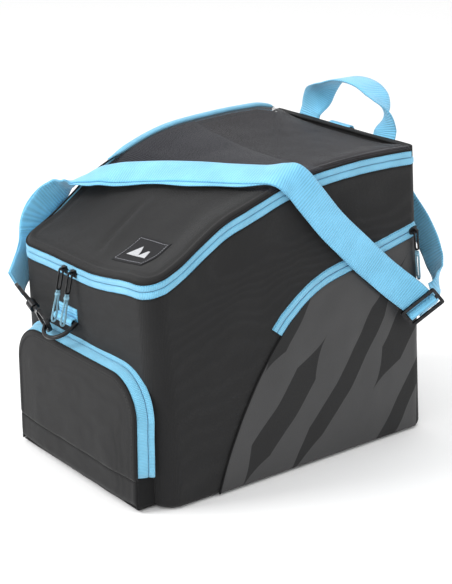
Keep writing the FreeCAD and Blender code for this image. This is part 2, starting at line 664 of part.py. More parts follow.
def add_clip(name, bar, wall_normal, wall_up, bow_dir, turn, stem, strap_across):
    """A ring in its tab with a swivel hook on the bow. turn is where on the bow the hook sits."""
    nodes[name + "_ring_tab"] = placed(tab_shape(), frame_placement(tuple(bar), wall_normal, wall_up))
    ring_frame = frame_placement(tuple(bar), bow_dir, V(*bow_dir).cross(V(1, 0, 0)))
    nodes[name + "_ring"] = placed(ring_shape(), ring_frame)
    forward = V(*bow_dir).normalize()
    angle = math.radians(turn)
    mid_r = (RING_INSIDE + RING_WIRE) / 2
    radial = forward * math.cos(angle) + V(1, 0, 0) * math.sin(angle)
    wire_at = bar + forward * RING_LEG + radial * mid_r
    wire_dir = V(1, 0, 0) * math.cos(angle) - forward * math.sin(angle)
    tip_dir = V(*stem).normalize()
    slack = HOOK_IN_R - RING_WIRE * math.sqrt(0.5) - HOOK_SLACK
    centre = wire_at - tip_dir * slack
    hook = frame_placement(tuple(centre), tuple(tip_dir), tuple(wire_dir))
    nodes[name + "_hook"] = placed(hook_shape(), hook)
    nodes[name + "_hook_gate"] = placed(gate_shape(), hook)
    across = V(*strap_across)
    eye = frame_placement(tuple(centre), tuple(tip_dir), tuple(tip_dir.cross(across)))
    nodes[name + "_strap_eye"] = placed(eye_shape(), eye)
    pivot = hook.multVec(gate_pivot())
    bar_at = eye.multVec(V(barrel_mouth() - SWIVEL_CLEAR - EYE_REACH, 0, 0))
    print(name, "ring bar", [round(v, 3) for v in bar], "stem", [round(v, 4) for v in tip_dir], "hook centre",
          [round(v, 2) for v in centre], "gate pivot", [round(v, 2) for v in pivot],
          "gate axis", [round(v, 4) for v in hook.Rotation.multVec(V(0, 0, 1))],
          "strap bar", [round(v, 2) for v in bar_at])


def make_clips():
    x, z = FRONT_TAB_AT
    tilt = math.radians(FRONT_RING_TILT)
    normal = V(0, -1, FRONT_LEAN).normalize()
    bar = V(x, front_y(z), z) + normal * (tab_outer() + TAB_CLEAR)
    add_clip("front", bar, normal, (0, -FRONT_LEAN, -1), (0, -math.cos(tilt), -math.sin(tilt)), -68.0,
             (0.93, -0.07, -0.35), (-0.22, 0.62, -0.75))
    x, z = REAR_TAB_AT
    tilt = math.radians(REAR_RING_TILT)
    normal = V(0, 1, REAR_LEAN).normalize()
    bar = V(x, rear_y(z), z) + normal * (tab_outer() + TAB_CLEAR)
    add_clip("rear", bar, normal, (0, -REAR_LEAN, 1), (0, math.cos(tilt), -math.sin(tilt)), 50.0,
             (-0.86, -0.10, 0.50), (0.50, 0.02, 0.86))


def make_strap():
    nodes["strap_front_run"] = ribbon(STRAP_FRONT, STRAP_WIDTH, 2 * STRAP_T)
    nodes["strap_rear_run"] = ribbon(STRAP_REAR, STRAP_WIDTH, STRAP_T)


def make_adjuster():
    """The frame and the loop of webbing round its middle bar lie on the strap's outer face."""
    a = V(*STRAP_FRONT[-2][0])
    b = V(*STRAP_FRONT[-1][0])
    along = (b - a).normalize()
    normal = V(*STRAP_FRONT[-1][1]).cross(along) * -1
    if normal.x < 0:
        normal = normal * -1
    at = b - along * 4.0 + normal.normalize() * (STRAP_T + 0.7)
    frame = frame_placement(tuple(at), tuple(along), tuple(normal))
    half_w = STRAP_WIDTH / 2 + 1.5
    half_l = GLIDE_BAR / 2 + GLIDE_SLOT + GLIDE_RIM
    plate = box((-half_l, -half_w - GLIDE_RIM, 0), (half_l, half_w + GLIDE_RIM, GLIDE_T))
    corner_edges = [e for e in plate.Edges if abs(e.Vertexes[0].Point.z - e.Vertexes[1].Point.z) > 1]
    plate = plate.makeFillet(3.0, corner_edges)
    for sign in (-1, 1):
        inner = sign * GLIDE_BAR / 2
        outer = sign * (GLIDE_BAR / 2 + GLIDE_SLOT)
        plate = plate.cut(box((min(inner, outer), -half_w, -1), (max(inner, outer), half_w, GLIDE_T + 1)))
    nodes["tri_glide"] = placed(plate, frame)
    half_web = STRAP_WIDTH / 2
    gap = 0.25
    reach = GLIDE_BAR / 2 + gap
    cover = box((-reach - STRAP_T, -half_web, 0), (reach + STRAP_T, half_web, GLIDE_T + gap + STRAP_T))
    room = box((-reach, -half_web - 1, -1), (reach, half_web + 1, GLIDE_T + gap))
    nodes["strap_end_loop"] = placed(cover.cut(room), frame)
    print("adjuster at", [round(v, 2) for v in at], "slides along", [round(v, 4) for v in along * -1])


def make_handle():
    top = REAR_HEIGHT - HANDLE_BELOW_TOP
    off = HANDLE_T / 2 + HANDLE_CLEAR
    y = rear_y(top) + off
    s = HANDLE_SPREAD
    low = top - HANDLE_SEWN
    ends = []
    for sign in (-1, 1):
        foot = ((sign * s, rear_y(low) + off, low), (1, 0, 0))
        head = ((sign * s, y, top - HANDLE_GAP), (1, 0, 0))
        ends.append(ribbon([foot, head], HANDLE_WIDTH, HANDLE_T))
    nodes["handle_ends"] = Part.makeCompound(ends)
    r = HANDLE_RISE
    lean = HANDLE_LEAN
    half = [((s, y, top + HANDLE_GAP), (-1, 0, 0)),
            ((s * 0.99, y + 0.22 * lean, top + 0.20 * r), (-1, 0, 0)),
            ((s * 0.93, y + 0.50 * lean, top + 0.42 * r), (-0.90, 0.40, 0)),
            ((s * 0.80, y + 0.72 * lean, top + 0.64 * r), (-0.60, 0.78, 0.1)),
            ((s * 0.60, y + 0.88 * lean, top + 0.83 * r), (-0.30, 0.95, 0.1)),
            ((s * 0.33, y + 0.97 * lean, top + 0.96 * r), (-0.05, 1, 0))]
    crown = [((0, y + lean, top + r), (0, 1, 0))]
    mirrored = [((-p[0], p[1], p[2]), (-w[0], w[1], w[2])) for p, w in half]
    nodes["grab_handle"] = ribbon(mirrored + crown + half[::-1], HANDLE_WIDTH, HANDLE_T)
    print("handle hinge", round(y + HANDLE_T / 2, 2), round(top, 2))


make_floor()
make_walls()
make_lid()
make_front_pocket()
make_side_pocket()
make_sliders()
make_clips()
make_strap()
make_adjuster()
make_handle()

os.makedirs("parts", exist_ok=True)
for name, shape in nodes.items():
    solids = shape.Solids
    kept = solids[0] if len(solids) == 1 else Part.makeCompound(solids)
    kept.exportStep("parts/" + name + ".step")
    print(name, len(solids), "valid" if kept.isValid() else "INVALID", round(kept.Volume / 1000, 2), "cm3")
print("lid hinge y", round(hinge_y(), 3), "z", REAR_HEIGHT, "pocket face y", pocket_face_y())
print(len(nodes), "nodes")
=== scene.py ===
"""The looks of a soft ski boot bag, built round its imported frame. Lengths are in metres."""
import math

import bpy
from mathutils import Vector, Matrix, noise


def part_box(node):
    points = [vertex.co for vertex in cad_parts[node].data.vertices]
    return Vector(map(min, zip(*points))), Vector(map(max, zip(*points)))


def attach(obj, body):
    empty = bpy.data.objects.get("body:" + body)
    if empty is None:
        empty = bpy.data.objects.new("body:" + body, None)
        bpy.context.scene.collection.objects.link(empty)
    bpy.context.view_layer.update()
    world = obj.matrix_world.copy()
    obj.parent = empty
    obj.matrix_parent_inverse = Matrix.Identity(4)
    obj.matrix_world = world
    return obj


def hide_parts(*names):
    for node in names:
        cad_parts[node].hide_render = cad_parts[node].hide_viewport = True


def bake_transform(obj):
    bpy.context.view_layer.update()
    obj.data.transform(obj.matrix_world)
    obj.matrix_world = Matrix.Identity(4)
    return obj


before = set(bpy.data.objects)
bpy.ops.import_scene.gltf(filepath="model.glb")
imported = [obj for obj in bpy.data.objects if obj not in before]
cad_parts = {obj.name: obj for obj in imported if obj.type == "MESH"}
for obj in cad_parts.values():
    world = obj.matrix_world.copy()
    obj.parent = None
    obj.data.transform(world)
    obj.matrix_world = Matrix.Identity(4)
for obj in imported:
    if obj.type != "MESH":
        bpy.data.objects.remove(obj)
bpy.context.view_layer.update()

# ---- the bag's own sizes, as the frame has them ---------------------------------------------
HALF_WIDTH = 0.145
HALF_LENGTH = 0.200
SIDE_LEAN = 0.040
FRONT_LEAN = -0.045
REAR_LEAN = 0.045
FRONT_R = 0.026
REAR_R = 0.014
FRONT_HEIGHT = 0.258
REAR_HEIGHT = 0.361
LID_SEAM_Y = -0.066
LID_SEAM_SKEW = 0.057
CORNER_SHARE = 0.07
LID_SHARES = ((-0.06, -0.04), (0.0, 0.0), (0.13, 0.21), (0.30, 0.62), (0.52, 0.92), (0.76, 1.01),
              (1.0, 1.0), (1.08, 0.98))
WEB_BLUE = (0.17, 0.56, 0.84)
ZIP_BLUE = (0.20, 0.61, 0.88)


def smooth(t):
    t = min(max(t, 0.0), 1.0)
    return t * t * (3 - 2 * t)


def hump(t, width):
    return math.exp(-(t / width) ** 2)


def rough(x, y, z, scale, seed=0.0):
    return noise.noise(Vector((x / scale + seed, y / scale - seed, z / scale + 2 * seed)))


# ---- outline of the walls -------------------------------------------------------------------
def half_width(z):
    return HALF_WIDTH - SIDE_LEAN * z


def front_y(z):
    return -HALF_LENGTH + FRONT_LEAN * z


def rear_y(z):
    return HALF_LENGTH - REAR_LEAN * z


WALLS = {
    "front": ((-1, -1), (1, -1), Vector((0, -1, 0))),
    "right": ((1, -1), (1, 1), Vector((1, 0, 0))),
    "rear": ((1, 1), (-1, 1), Vector((0, 1, 0))),
    "left": ((-1, 1), (-1, -1), Vector((-1, 0, 0))),
}


def wall_point(side, t, z, out=0.0):
    """A point at height z on a wall, t from one corner's middle to the next, and its outward normal."""
    first, last, normal = WALLS[side]
    ends = []
    for sx, sy in (first, last):
        radius = FRONT_R if sy < 0 else REAR_R
        x = sx * (half_width(z) - radius)
        y = front_y(z) + radius if sy < 0 else rear_y(z) - radius
        ends.append((Vector((x, y, z)), radius + out))
    if t < CORNER_SHARE:
        angle = -math.pi / 4 * (1 - t / CORNER_SHARE)
        centre, radius = ends[0]
    elif t > 1 - CORNER_SHARE:
        angle = math.pi / 4 * (1 - (1 - t) / CORNER_SHARE)
        centre, radius = ends[1]
    else:
        angle = 0.0
        share = (t - CORNER_SHARE) / (1 - 2 * CORNER_SHARE)
        centre = ends[0][0].lerp(ends[1][0], share)
        radius = ends[0][1] * (1 - share) + ends[1][1] * share
    facing = Matrix.Rotation(angle, 3, "Z") @ normal
    return centre + facing * radius, facing


def lid_height(y):
    """The lid's own line, by a smooth curve through its shares of run and rise."""
    low = front_y(FRONT_HEIGHT)
    run = rear_y(REAR_HEIGHT) - low
    rise = REAR_HEIGHT - FRONT_HEIGHT
    a = (y - low) / run
    xs = [s[0] for s in LID_SHARES]
    ys = [s[1] for s in LID_SHARES]
    last = len(xs) - 1
    slopes = []
    for i in range(len(xs)):
        after = min(i + 1, last)
        before = max(i - 1, 0)
        slopes.append((ys[after] - ys[before]) / (xs[after] - xs[before]))
    a = min(max(a, xs[0]), xs[-1])
    i = max(k for k in range(last) if xs[k] <= a + 1e-9)
    h = xs[i + 1] - xs[i]
    t = (a - xs[i]) / h
    b = (ys[i] * (2 * t ** 3 - 3 * t ** 2 + 1) + slopes[i] * h * (t ** 3 - 2 * t ** 2 + t)
         + ys[i + 1] * (3 * t ** 2 - 2 * t ** 3) + slopes[i + 1] * h * (t ** 3 - t ** 2))
    return FRONT_HEIGHT + rise * b


def left_lift(x, y):
    """The bag leans: its left top edge stands a little higher than the right one."""
    return 0.008 * smooth(-x / 0.13) * smooth((y + 0.20) / 0.08) * smooth((0.19 - y) / 0.05)


def corner_lift(x, y):
    """The full front right corner pushes the lid's edge up."""
    return 0.012 * smooth((x - 0.01) / 0.10) * (1 - smooth((y + 0.15) / 0.11))


def edge_height(x, y):
    ripple = 0.0016 * rough(x, y, 0.0, 0.075, 3.0)
    return lid_height(y) + left_lift(x, y) + corner_lift(x, y) + ripple


def wall_top(side, t):
    z = 0.30
    for _ in range(5):
        p, _n = wall_point(side, t, z)
        z = edge_height(p.x, p.y)
    return z


def wall_soft(side, t, z, top):
    """How far the fabric stands out from the flat wall."""
    across = math.sin(math.pi * min(max(t, 0), 1)) ** 0.8
    up = math.sin(math.pi * min(max(z / top, 0.0), 1.0)) ** 0.8
    p, _n = wall_point(side, t, z)
    fold = rough(p.x, p.y, p.z * 0.6, 0.055, 7.0)
    fine = rough(p.x, p.y, p.z, 0.022, 11.0)
    size = {"front": 0.0010, "right": 0.0025, "rear": 0.0030, "left": 0.0040}[side]
    dent = -0.0030 * across * hump(z / top - 0.80, 0.10) if side in ("right", "left") else 0.0
    return across * up * (size + 0.0016 * fold + 0.0006 * fine) + dent


# ---- meshes ---------------------------------------------------------------------------------
def add_mesh(name, points, faces, material, uvs=None, body=None, shade=True):
    mesh = bpy.data.meshes.new(name)
    mesh.from_pydata([tuple(p) for p in points], [], faces)
    if uvs is not None:
        layer = mesh.uv_layers.new(name="UVMap")
        for loop in mesh.loops:
            layer.data[loop.index].uv = uvs[loop.vertex_index]
    mesh.validate()
    obj = bpy.data.objects.new(name, mesh)
    bpy.context.scene.collection.objects.link(obj)
    if shade:
        for polygon in mesh.polygons:
            polygon.use_smooth = True
    mesh.materials.append(material)
    if body:
        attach(obj, body)
    return obj


def thicken(obj, thickness):
    solid = obj.modifiers.new("thickness", "SOLIDIFY")
    solid.thickness = thickness
    solid.offset = -1.0


def place_in_frame(obj, body, slot, *nodes):
    """The body that a piece rides on and the nodes it stands for; the slot is not used."""
    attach(obj, body)
    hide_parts(*nodes)


def sheet_mesh(name, place, us, vs, material, thick=0.0, flip=False):
    """A grid of points place(u, v), with distance-true UVs and an optional thickness behind it."""
    rows = [[Vector(place(u, v)) for u in us] for v in vs]
    middle = len(us) // 2
    points = []
    uvs = []
    down = 0.0
    for j, row in enumerate(rows):
        if j:
            down += (row[middle] - rows[j - 1][middle]).length
        across = 0.0
        for i, p in enumerate(row):
            if i:
                across += (p - row[i - 1]).length
            points.append(p)
            uvs.append((across, down))
    n = len(us)
    faces = []
    for j in range(len(vs) - 1):
        for i in range(n - 1):
            a = j * n + i
            face = (a, a + 1, a + n + 1, a + n)
            faces.append(face[::-1] if flip else face)
    obj = add_mesh(name, points, faces, material, uvs)
    if thick:
        thicken(obj, thick)
    return obj


def tube_mesh(name, rings, material, body=None):
    """Rings of points joined into one closed skin; uv x runs along it and y round it."""
    n = len(rings[0])
    points = [p for ring in rings for p in ring]
    uvs = []
    along = 0.0
    for j, ring in enumerate(rings):
        if j:
            along += (ring[0] - rings[j - 1][0]).length
        around = 0.0
        for i, p in enumerate(ring):
            if i:
                around += (p - ring[i - 1]).length
            uvs.append((along, around))
    faces = []
    last = len(rings) - 1
    for j in range(last):
        for i in range(n):
            k = (i + 1) % n
            faces.append((j * n + i, j * n + k, (j + 1) * n + k, (j + 1) * n + i))
    faces.append(tuple(range(n))[::-1])
    faces.append(tuple(last * n + i for i in range(n)))
    return add_mesh(name, points, faces, material, uvs, body)


def turns(count):
    """Evenly spaced angles once round."""
    return [2 * math.pi * q / count for q in range(count)]


def steps(low, high, count):
    return [low + (high - low) * i / (count - 1) for i in range(count)]


STITCH_R = 0.00032
STITCH_RINGS = ((-0.5, 0.35, -0.2), (-0.25, 1.0, 0.7), (0.25, 1.0, 0.7), (0.5, 0.35, -0.2))


def stitches(name, path, material, body, pitch=0.0042, length=0.0027):
    """A row of thread stitches along a path of (point, normal)."""
    points = []
    faces = []
    travelled = 0.0
    due = pitch / 2
    for (a, na), (b, nb) in zip(path, path[1:]):
        span = (b - a).length
        while span > 1e-7 and due <= travelled + span:
            share = (due - travelled) / span
            at = a.lerp(b, share)
            normal = na.lerp(nb, share).normalized()
            run = (b - a).normalized()
            side = normal.cross(run).normalized()
            base = len(points)
            for reach, size, rise in STITCH_RINGS:
                for turn in turns(5):
                    off = side * math.cos(turn) + normal * math.sin(turn)
                    points.append(at + run * reach * length + normal * STITCH_R * rise
                                  + off * STITCH_R * size)
            for first in (base, base + 5, base + 10):
                for q in range(5):
                    r = (q + 1) % 5
                    faces.append((first + q, first + r, first + 5 + r, first + 5 + q))
            faces.append(tuple(base + q for q in range(5))[::-1])
            faces.append(tuple(base + 15 + q for q in range(5)))
            due += pitch
        travelled += span
    return add_mesh(name, points, faces, material, None, body)


# ---- materials ------------------------------------------------------------------------------
STROKES = ((-0.120, 0.013, 0.070, 0.215), (-0.062, 0.017, -0.060, 0.150), (0.000, 0.013, -0.040, 0.290),
           (0.052, 0.019, 0.120, 0.330), (0.112, 0.012, 0.020, 0.240))
STROKE_TAPER = 0.16


def new_material(name):
    material = bpy.data.materials.new(name)
    material.use_nodes = True
    tree = material.node_tree
    return material, tree, tree.nodes["Principled BSDF"]


def feed(tree, inputs, values):
    """Links or sets a node's inputs, by name or number; a colour is three numbers."""
    for key, value in values.items():
        if isinstance(value, bpy.types.NodeSocket):
            tree.links.new(value, inputs[key])
        elif isinstance(value, tuple):
            inputs[key].default_value = (*value, 1.0)
        else:
            inputs[key].default_value = value


def node(tree, kind, values, **settings):
    made = tree.nodes.new("ShaderNode" + kind)
    for key, value in settings.items():
        setattr(made, key, value)
    feed(tree, made.inputs, values)
    return made


def coordinates(tree, kind):
    if kind == "uv":
        return tree.nodes.new("ShaderNodeUVMap").outputs["UV"]
    return tree.nodes.new("ShaderNodeTexCoord").outputs["Object"]


def clouds(tree, where, scale, detail):
    return node(tree, "TexNoise", {"Vector": where, "Scale": scale, "Detail": detail}).outputs["Fac"]


def waves(tree, where, direction, scale, distortion=0.0):
    values = {"Vector": where, "Scale": scale, "Distortion": distortion}
    return node(tree, "TexWave", values, bands_direction=direction).outputs["Fac"]


def maths(tree, operation, a, b=0.0):
    return node(tree, "Math", {0: a, 1: b}, operation=operation).outputs[0]


def mix_colour(tree, factor, a, b):
    return node(tree, "Mix", {"Factor": factor, 6: a, 7: b}, data_type="RGBA").outputs[2]


def ramp(tree, socket, low, high):
    return node(tree, "MapRange", {"Value": socket, "From Min": low, "From Max": high}).outputs["Result"]


def times(colour, factor):
    return tuple(c * factor for c in colour)


def bump(tree, shader, heights):
    """heights is a list of (socket, distance); the bumps are stacked."""
    last = None
    for socket, distance in heights:
        values = {"Height": socket, "Distance": distance, "Strength": 1.0}
        if last is not None:
            values["Normal"] = last
        last = node(tree, "Bump", values).outputs["Normal"]
    tree.links.new(last, shader.inputs["Normal"])


def weave(tree, where, pitch):
    """Two crossing sets of yarns."""
    yarns = [waves(tree, where, direction, 1 / pitch / 3.2, 0.6) for direction in ("X", "Y")]
    return maths(tree, "MULTIPLY", yarns[0], yarns[1])


def fabric(name, colour, spread=0.12, roughness=0.85, pitch=0.0009, sheen=0.05):
    material, tree, shader = new_material(name)
    where = coordinates(tree, "object")
    cloud = clouds(tree, where, 14.0, 4.0)
    grain = clouds(tree, where, 900.0, 2.0)
    base = mix_colour(tree, ramp(tree, cloud, 0.35, 0.65), times(colour, 1 - spread),
                      times(colour, 1 + spread))
    speck = mix_colour(tree, ramp(tree, grain, 0.3, 0.7), times(colour, 0.72), base)
    feed(tree, shader.inputs, {"Base Color": speck, "Roughness": roughness, "Sheen Weight": sheen,
                               "Sheen Roughness": 0.5, "Specular IOR Level": 0.25})
    bump(tree, shader, [(cloud, 0.002), (weave(tree, where, pitch), 0.0002), (grain, 0.0003)])
    return material


def webbing(name, colour, pitch=0.0034, roughness=0.55):
    """Woven tape: ribs across it, finer yarns along it."""
    material, tree, shader = new_material(name)
    where = coordinates(tree, "uv")
    ribs = waves(tree, where, "X", 0.314 / pitch)
    yarns = waves(tree, where, "Y", 0.314 / (pitch * 0.45), 0.5)
    cloud = clouds(tree, where, 30.0, 3.0)
    ribbed = mix_colour(tree, ramp(tree, ribs, 0.1, 0.8), times(colour, 0.74), colour)
    pale = tuple(min(1.0, c * 1.12 + 0.02) for c in colour)
    faded = mix_colour(tree, ramp(tree, cloud, 0.35, 0.75), ribbed, pale)
    final = mix_colour(tree, ramp(tree, yarns, 0.0, 0.5), ribbed, faded)
    feed(tree, shader.inputs, {"Base Color": final, "Roughness": roughness, "Sheen Weight": 0.3})
    bump(tree, shader, [(ribs, 0.0005), (yarns, 0.00025)])
    return material


def metal(name, colour, roughness=0.32, metallic=0.6):
    material, tree, shader = new_material(name)
    wear = clouds(tree, coordinates(tree, "object"), 160.0, 5.0)
    worn = tuple(c * 1.9 + 0.02 for c in colour)
    base = mix_colour(tree, ramp(tree, wear, 0.45, 0.8), colour, worn)
    feed(tree, shader.inputs, {"Base Color": base, "Metallic": metallic, "Roughness": roughness})
    bump(tree, shader, [(wear, 0.00015)])
    return material


def stroke_mask(tree, where):
    """1 inside the slanted strokes; each is (centre, half width, low end, high end)."""
    split = node(tree, "SeparateXYZ", {0: where}).outputs
    wobble = clouds(tree, where, 9.0, 1.0)

    def weighted(socket, factor):
        return maths(tree, "MULTIPLY", socket, factor)
    lean = maths(tree, "ADD", weighted(split["Y"], 0.80), weighted(split["Z"], -0.60))
    across = maths(tree, "ADD", lean, weighted(wobble, 0.020))
    along = maths(tree, "ADD", weighted(split["Y"], 0.60), weighted(split["Z"], 0.80))
    mask = 0.0
    for centre, width, low, high in STROKES:
        middle = node(tree, "MapRange", {"Value": along, "From Min": low, "From Max": high},
                      interpolation_type="SMOOTHSTEP").outputs["Result"]
        full = maths(tree, "MINIMUM", maths(tree, "PINGPONG", middle, 0.5), STROKE_TAPER)
        reach = maths(tree, "MULTIPLY", full, width / STROKE_TAPER)
        offset = maths(tree, "ABSOLUTE", maths(tree, "SUBTRACT", across, centre))
        mask = maths(tree, "MAXIMUM", mask, maths(tree, "LESS_THAN", offset, reach))
    return mask


def printed_fabric(name):
    """Black cloth with a satin grey print; slanted tapering strokes are left clear."""
    material, tree, shader = new_material(name)
    where = coordinates(tree, "object")
    mask = stroke_mask(tree, where)
    grain = clouds(tree, where, 700.0, 2.0)
    cloud = clouds(tree, where, 10.0, 3.0)
    grey = mix_colour(tree, ramp(tree, cloud, 0.3, 0.7), (0.026, 0.026, 0.027), (0.033, 0.033, 0.034))
    black = mix_colour(tree, grain, (0.005, 0.005, 0.0055), (0.009, 0.009, 0.0095))
    gloss = node(tree, "MapRange", {"Value": mask, "To Min": 0.42, "To Max": 0.8}).outputs["Result"]
    feed(tree, shader.inputs, {"Base Color": mix_colour(tree, mask, grey, black), "Roughness": gloss})
    bump(tree, shader, [(cloud, 0.0015), (grain, 0.0003)])
    return material


def mesh_cloth(name, colour, hole=0.42, pitch=0.0021):
    """Open mesh: round holes in staggered rows, clear right through."""
    material, tree, shader = new_material(name)
    where = coordinates(tree, "uv")
    cells = node(tree, "TexVoronoi", {"Vector": where, "Scale": 1 / pitch, "Randomness": 0.12})
    cells = cells.outputs["Distance"]
    solid = maths(tree, "SUBTRACT", 1.0, maths(tree, "LESS_THAN", cells, hole))
    base = mix_colour(tree, clouds(tree, where, 60.0, 3.0), times(colour, 0.8), times(colour, 1.25))
    feed(tree, shader.inputs, {"Base Color": base, "Alpha": solid, "Roughness": 0.6, "Sheen Weight": 0.2})
    bump(tree, shader, [(cells, 0.0004)])
    return material


FRONT_CLOTH = fabric("front_cloth", (0.0135, 0.0135, 0.014), sheen=0.08)
# The same cloth as the front, made darker: painted shade of walls that face away from the key light.
SHADED_SIDE_CLOTH = fabric("shaded_side_cloth", (0.0085, 0.0085, 0.0088), sheen=0.03, roughness=0.75)
BLACK_TRIM = fabric("black_trim", (0.006, 0.006, 0.0065), sheen=0.03, pitch=0.0014)
LINING = fabric("lining_cloth", (0.030, 0.021, 0.019), roughness=0.75, pitch=0.0007)
NAVY_BACK = fabric("underlay_cloth", (0.010, 0.0105, 0.017), roughness=0.8)
PRINT = printed_fabric("printed_cloth")
MESH = mesh_cloth("lid_mesh_cloth", (0.010, 0.010, 0.017))
WEB = webbing("blue_webbing", WEB_BLUE)
ZIP = webbing("blue_zip_tape", ZIP_BLUE, pitch=0.0018, roughness=0.5)
ZIP_DARK = webbing("blue_zip_coil", (0.02, 0.20, 0.42), pitch=0.0012, roughness=0.4)
CORD = webbing("blue_cord", (0.38, 0.74, 0.95), pitch=0.0016, roughness=0.6)
PATCH = fabric("label_cloth", (0.014, 0.014, 0.016), sheen=0.03, pitch=0.0008)
THREAD = fabric("pale_thread", (0.45, 0.46, 0.50), spread=0.05)
BLUE_THREAD = fabric("blue_thread", (0.10, 0.42, 0.70), spread=0.05)
DARK_THREAD = fabric("dark_thread", (0.03, 0.03, 0.032), spread=0.05)
MARK = fabric("label_mark_cloth", (0.55, 0.56, 0.58), spread=0.04, sheen=0.0)
HARDWARE = metal("black_hardware", (0.012, 0.012, 0.013))


# ---- the body's shell -----------------------------------------------------------------------
LID_DROP = 0.004
TAPE = 0.008
SLIT = 0.0006
SHELL_DROP = LID_DROP + 2 * TAPE + SLIT
HINGE_Y = 0.1733
CLOTH_T = 0.0016
FOOT_R = 0.007
BASE_Z = 0.0006


def corner_steps(count):
    """Values of t along one wall, close together round its two corners."""
    c = CORNER_SHARE
    return steps(0.0, c, 7)[:-1] + steps(c, 1 - c, count) + steps(1 - c, 1.0, 7)[1:]


def perimeter(count=44):
    """Stations once round the bag: (side, t), from the rear left corner by the front to the rear."""
    path = []
    for side in ("left", "front", "right", "rear"):
        number = count if side in ("left", "right") else int(count * 0.8)
        path += [(side, t) for t in corner_steps(number)[:-1]]
    return path


def shell_point(side, t, z, out=0.0):
    top = wall_top(side, t)
    p, facing = wall_point(side, t, z, out)
    return p + facing * wall_soft(side, t, z, top)


def make_shell():
    path = perimeter()
    tops = []
    for side, t in path:
        tops.append(wall_top(side, t) - (0.0 if side == "rear" else SHELL_DROP))
    shares = [0.0, 0.008, 0.02, 0.035] + steps(0.06, 0.97, 40) + [0.985, 1.0]
    points = []
    uvs = []
    for share in shares:
        for (side, t), top in zip(path, tops):
            z = share * top
            tuck = FOOT_R - math.sqrt(max(FOOT_R ** 2 - max(FOOT_R - z, 0.0) ** 2, 0.0))
            p = shell_point(side, t, z, -tuck)
            points.append(p)
            uvs.append((p.x + p.y, p.z))
    n = len(path)
    faces = []
    for j in range(len(shares) - 1):
        for i in range(n):
            k = (i + 1) % n
            faces.append((j * n + i, j * n + k, (j + 1) * n + k, (j + 1) * n + i))
    base = len(points)
    for scale in (0.94, 0.55):
        for i in range(n):
            p = points[i]
            points.append(Vector((p.x * scale, p.y * scale, BASE_Z)))
            uvs.append((p.x * scale, p.y * scale))
    points.append(Vector((0, 0, BASE_Z)))
    uvs.append((0, 0))
    for i in range(n):
        k = (i + 1) % n
        faces.append((base + i, base + k, k, i))
        faces.append((base + n + i, base + n + k, base + k, base + i))
        faces.append((base + 2 * n, base + n + k, base + n + i))
    shell = add_mesh("body_shell", points, faces, FRONT_CLOTH, uvs)
    thicken(shell, 0.002)
    place_in_frame(shell, "bag", "fabric_side", "front_panel", "rear_panel", "left_side_panel",
                   "right_side_panel", "base_panel")


def make_inside():
    for side in ("front", "left", "right", "rear"):
        name = side if side in ("front", "rear") else side + "_side"
        columns = corner_steps(16)

        def padding(t, share, side=side):
            top = wall_top(side, t) - (0.0005 if side == "rear" else 0.0055)
            return shell_point(side, t, 0.004 + share * (top - 0.004), -0.0023)

        def inner(t, share, side=side):
            top = wall_top(side, t) - 0.0095
            return shell_point(side, t, 0.006 + share * (top - 0.006), -0.0056)
        foam = sheet_mesh(name + "_padding", padding, columns, steps(0, 1, 14), SHADED_SIDE_CLOTH, 0.0028)
        place_in_frame(foam, "bag", "foam", name + "_foam")
        lining = sheet_mesh(side + "_lining", inner, columns, steps(0, 1, 14), LINING, 0.0006)
        place_in_frame(lining, "bag", "lining", "lining")

    def floor(u, v):
        x = u * (HALF_WIDTH - 0.0075)
        y = -HALF_LENGTH + 0.0075 + v * (2 * HALF_LENGTH - 0.015)
        return Vector((x, y, 0.0054 + 0.0006 * rough(x, y, 0, 0.05, 2.0)))
    lining = sheet_mesh("floor_lining", floor, steps(-1, 1, 20), steps(0, 1, 26), LINING, 0.0006)
    place_in_frame(lining, "bag", "lining", "lining")


# ---- the lid --------------------------------------------------------------------------------
def plan_half_width(y):
    return half_width(edge_height(0.13, y))


def edge_distance(x, y):
    """Distance in plan from the lid's outline, by the front and the two sides."""
    low = front_y(FRONT_HEIGHT)
    dx = plan_half_width(y) - abs(x)
    dy = y - low
    if dx < FRONT_R and dy < FRONT_R:
        return FRONT_R - math.hypot(FRONT_R - dx, FRONT_R - dy)
    return min(dx, dy)


def seam_y(x):
    """The seam between the lid's solid cloth and its mesh."""
    return LID_SEAM_Y + x * LID_SEAM_SKEW / 0.29


def strap_clear(x, y):
    """0 under the strap, 1 away from it."""
    line = -0.079 + 0.33 * (x + 0.04) - 0.4 * x * x
    return smooth((abs(y - line) - 0.026) / 0.02)


def lid_surface(x, y, lift=0.0):
    d = edge_distance(x, y)
    roll = 0.0042
    fall = roll - math.sqrt(max(roll ** 2 - max(roll - max(d, 0.0), 0.0) ** 2, 0.0))
    z = lid_height(y) - fall * 0.95
    z += left_lift(x, y) * smooth((y + 0.10) / 0.05) * strap_clear(x, y) + 0.0016 * hump(d - 0.0048, 0.0024)
    z += (corner_lift(x, y) * (1 - 0.6 * smooth((d - 0.01) / 0.05))
          + 0.0016 * rough(x, y, 0, 0.075, 3.0) * hump(d, 0.03))
    z -= 0.0013 * hump(d - 0.0095, 0.0025)
    inside = smooth((d - 0.010) / 0.04)
    z -= inside * (0.0022 + 0.0035 * smooth((y + 0.02) / 0.1) * (1 - (x / 0.14) ** 2))
    z += inside * (0.0012 * rough(x, y, 0, 0.06, 5.0) + 0.0005 * rough(x, y, 0, 0.02, 9.0)) - 0.0006 * inside
    pleat = x + 0.012 + 0.008 * math.sin((y + 0.2) * 18) - 0.012 * smooth((-0.15 - y) / 0.05)
    z -= inside * 0.0022 * hump(pleat, 0.0035) * smooth((-0.1 - y) / 0.02)
    z += inside * 0.0010 * hump(pleat - 0.011, 0.007) * smooth((-0.1 - y) / 0.02)
    z -= 0.0009 * hump(y - seam_y(x), 0.0025)
    return Vector((x, y, z + lift))


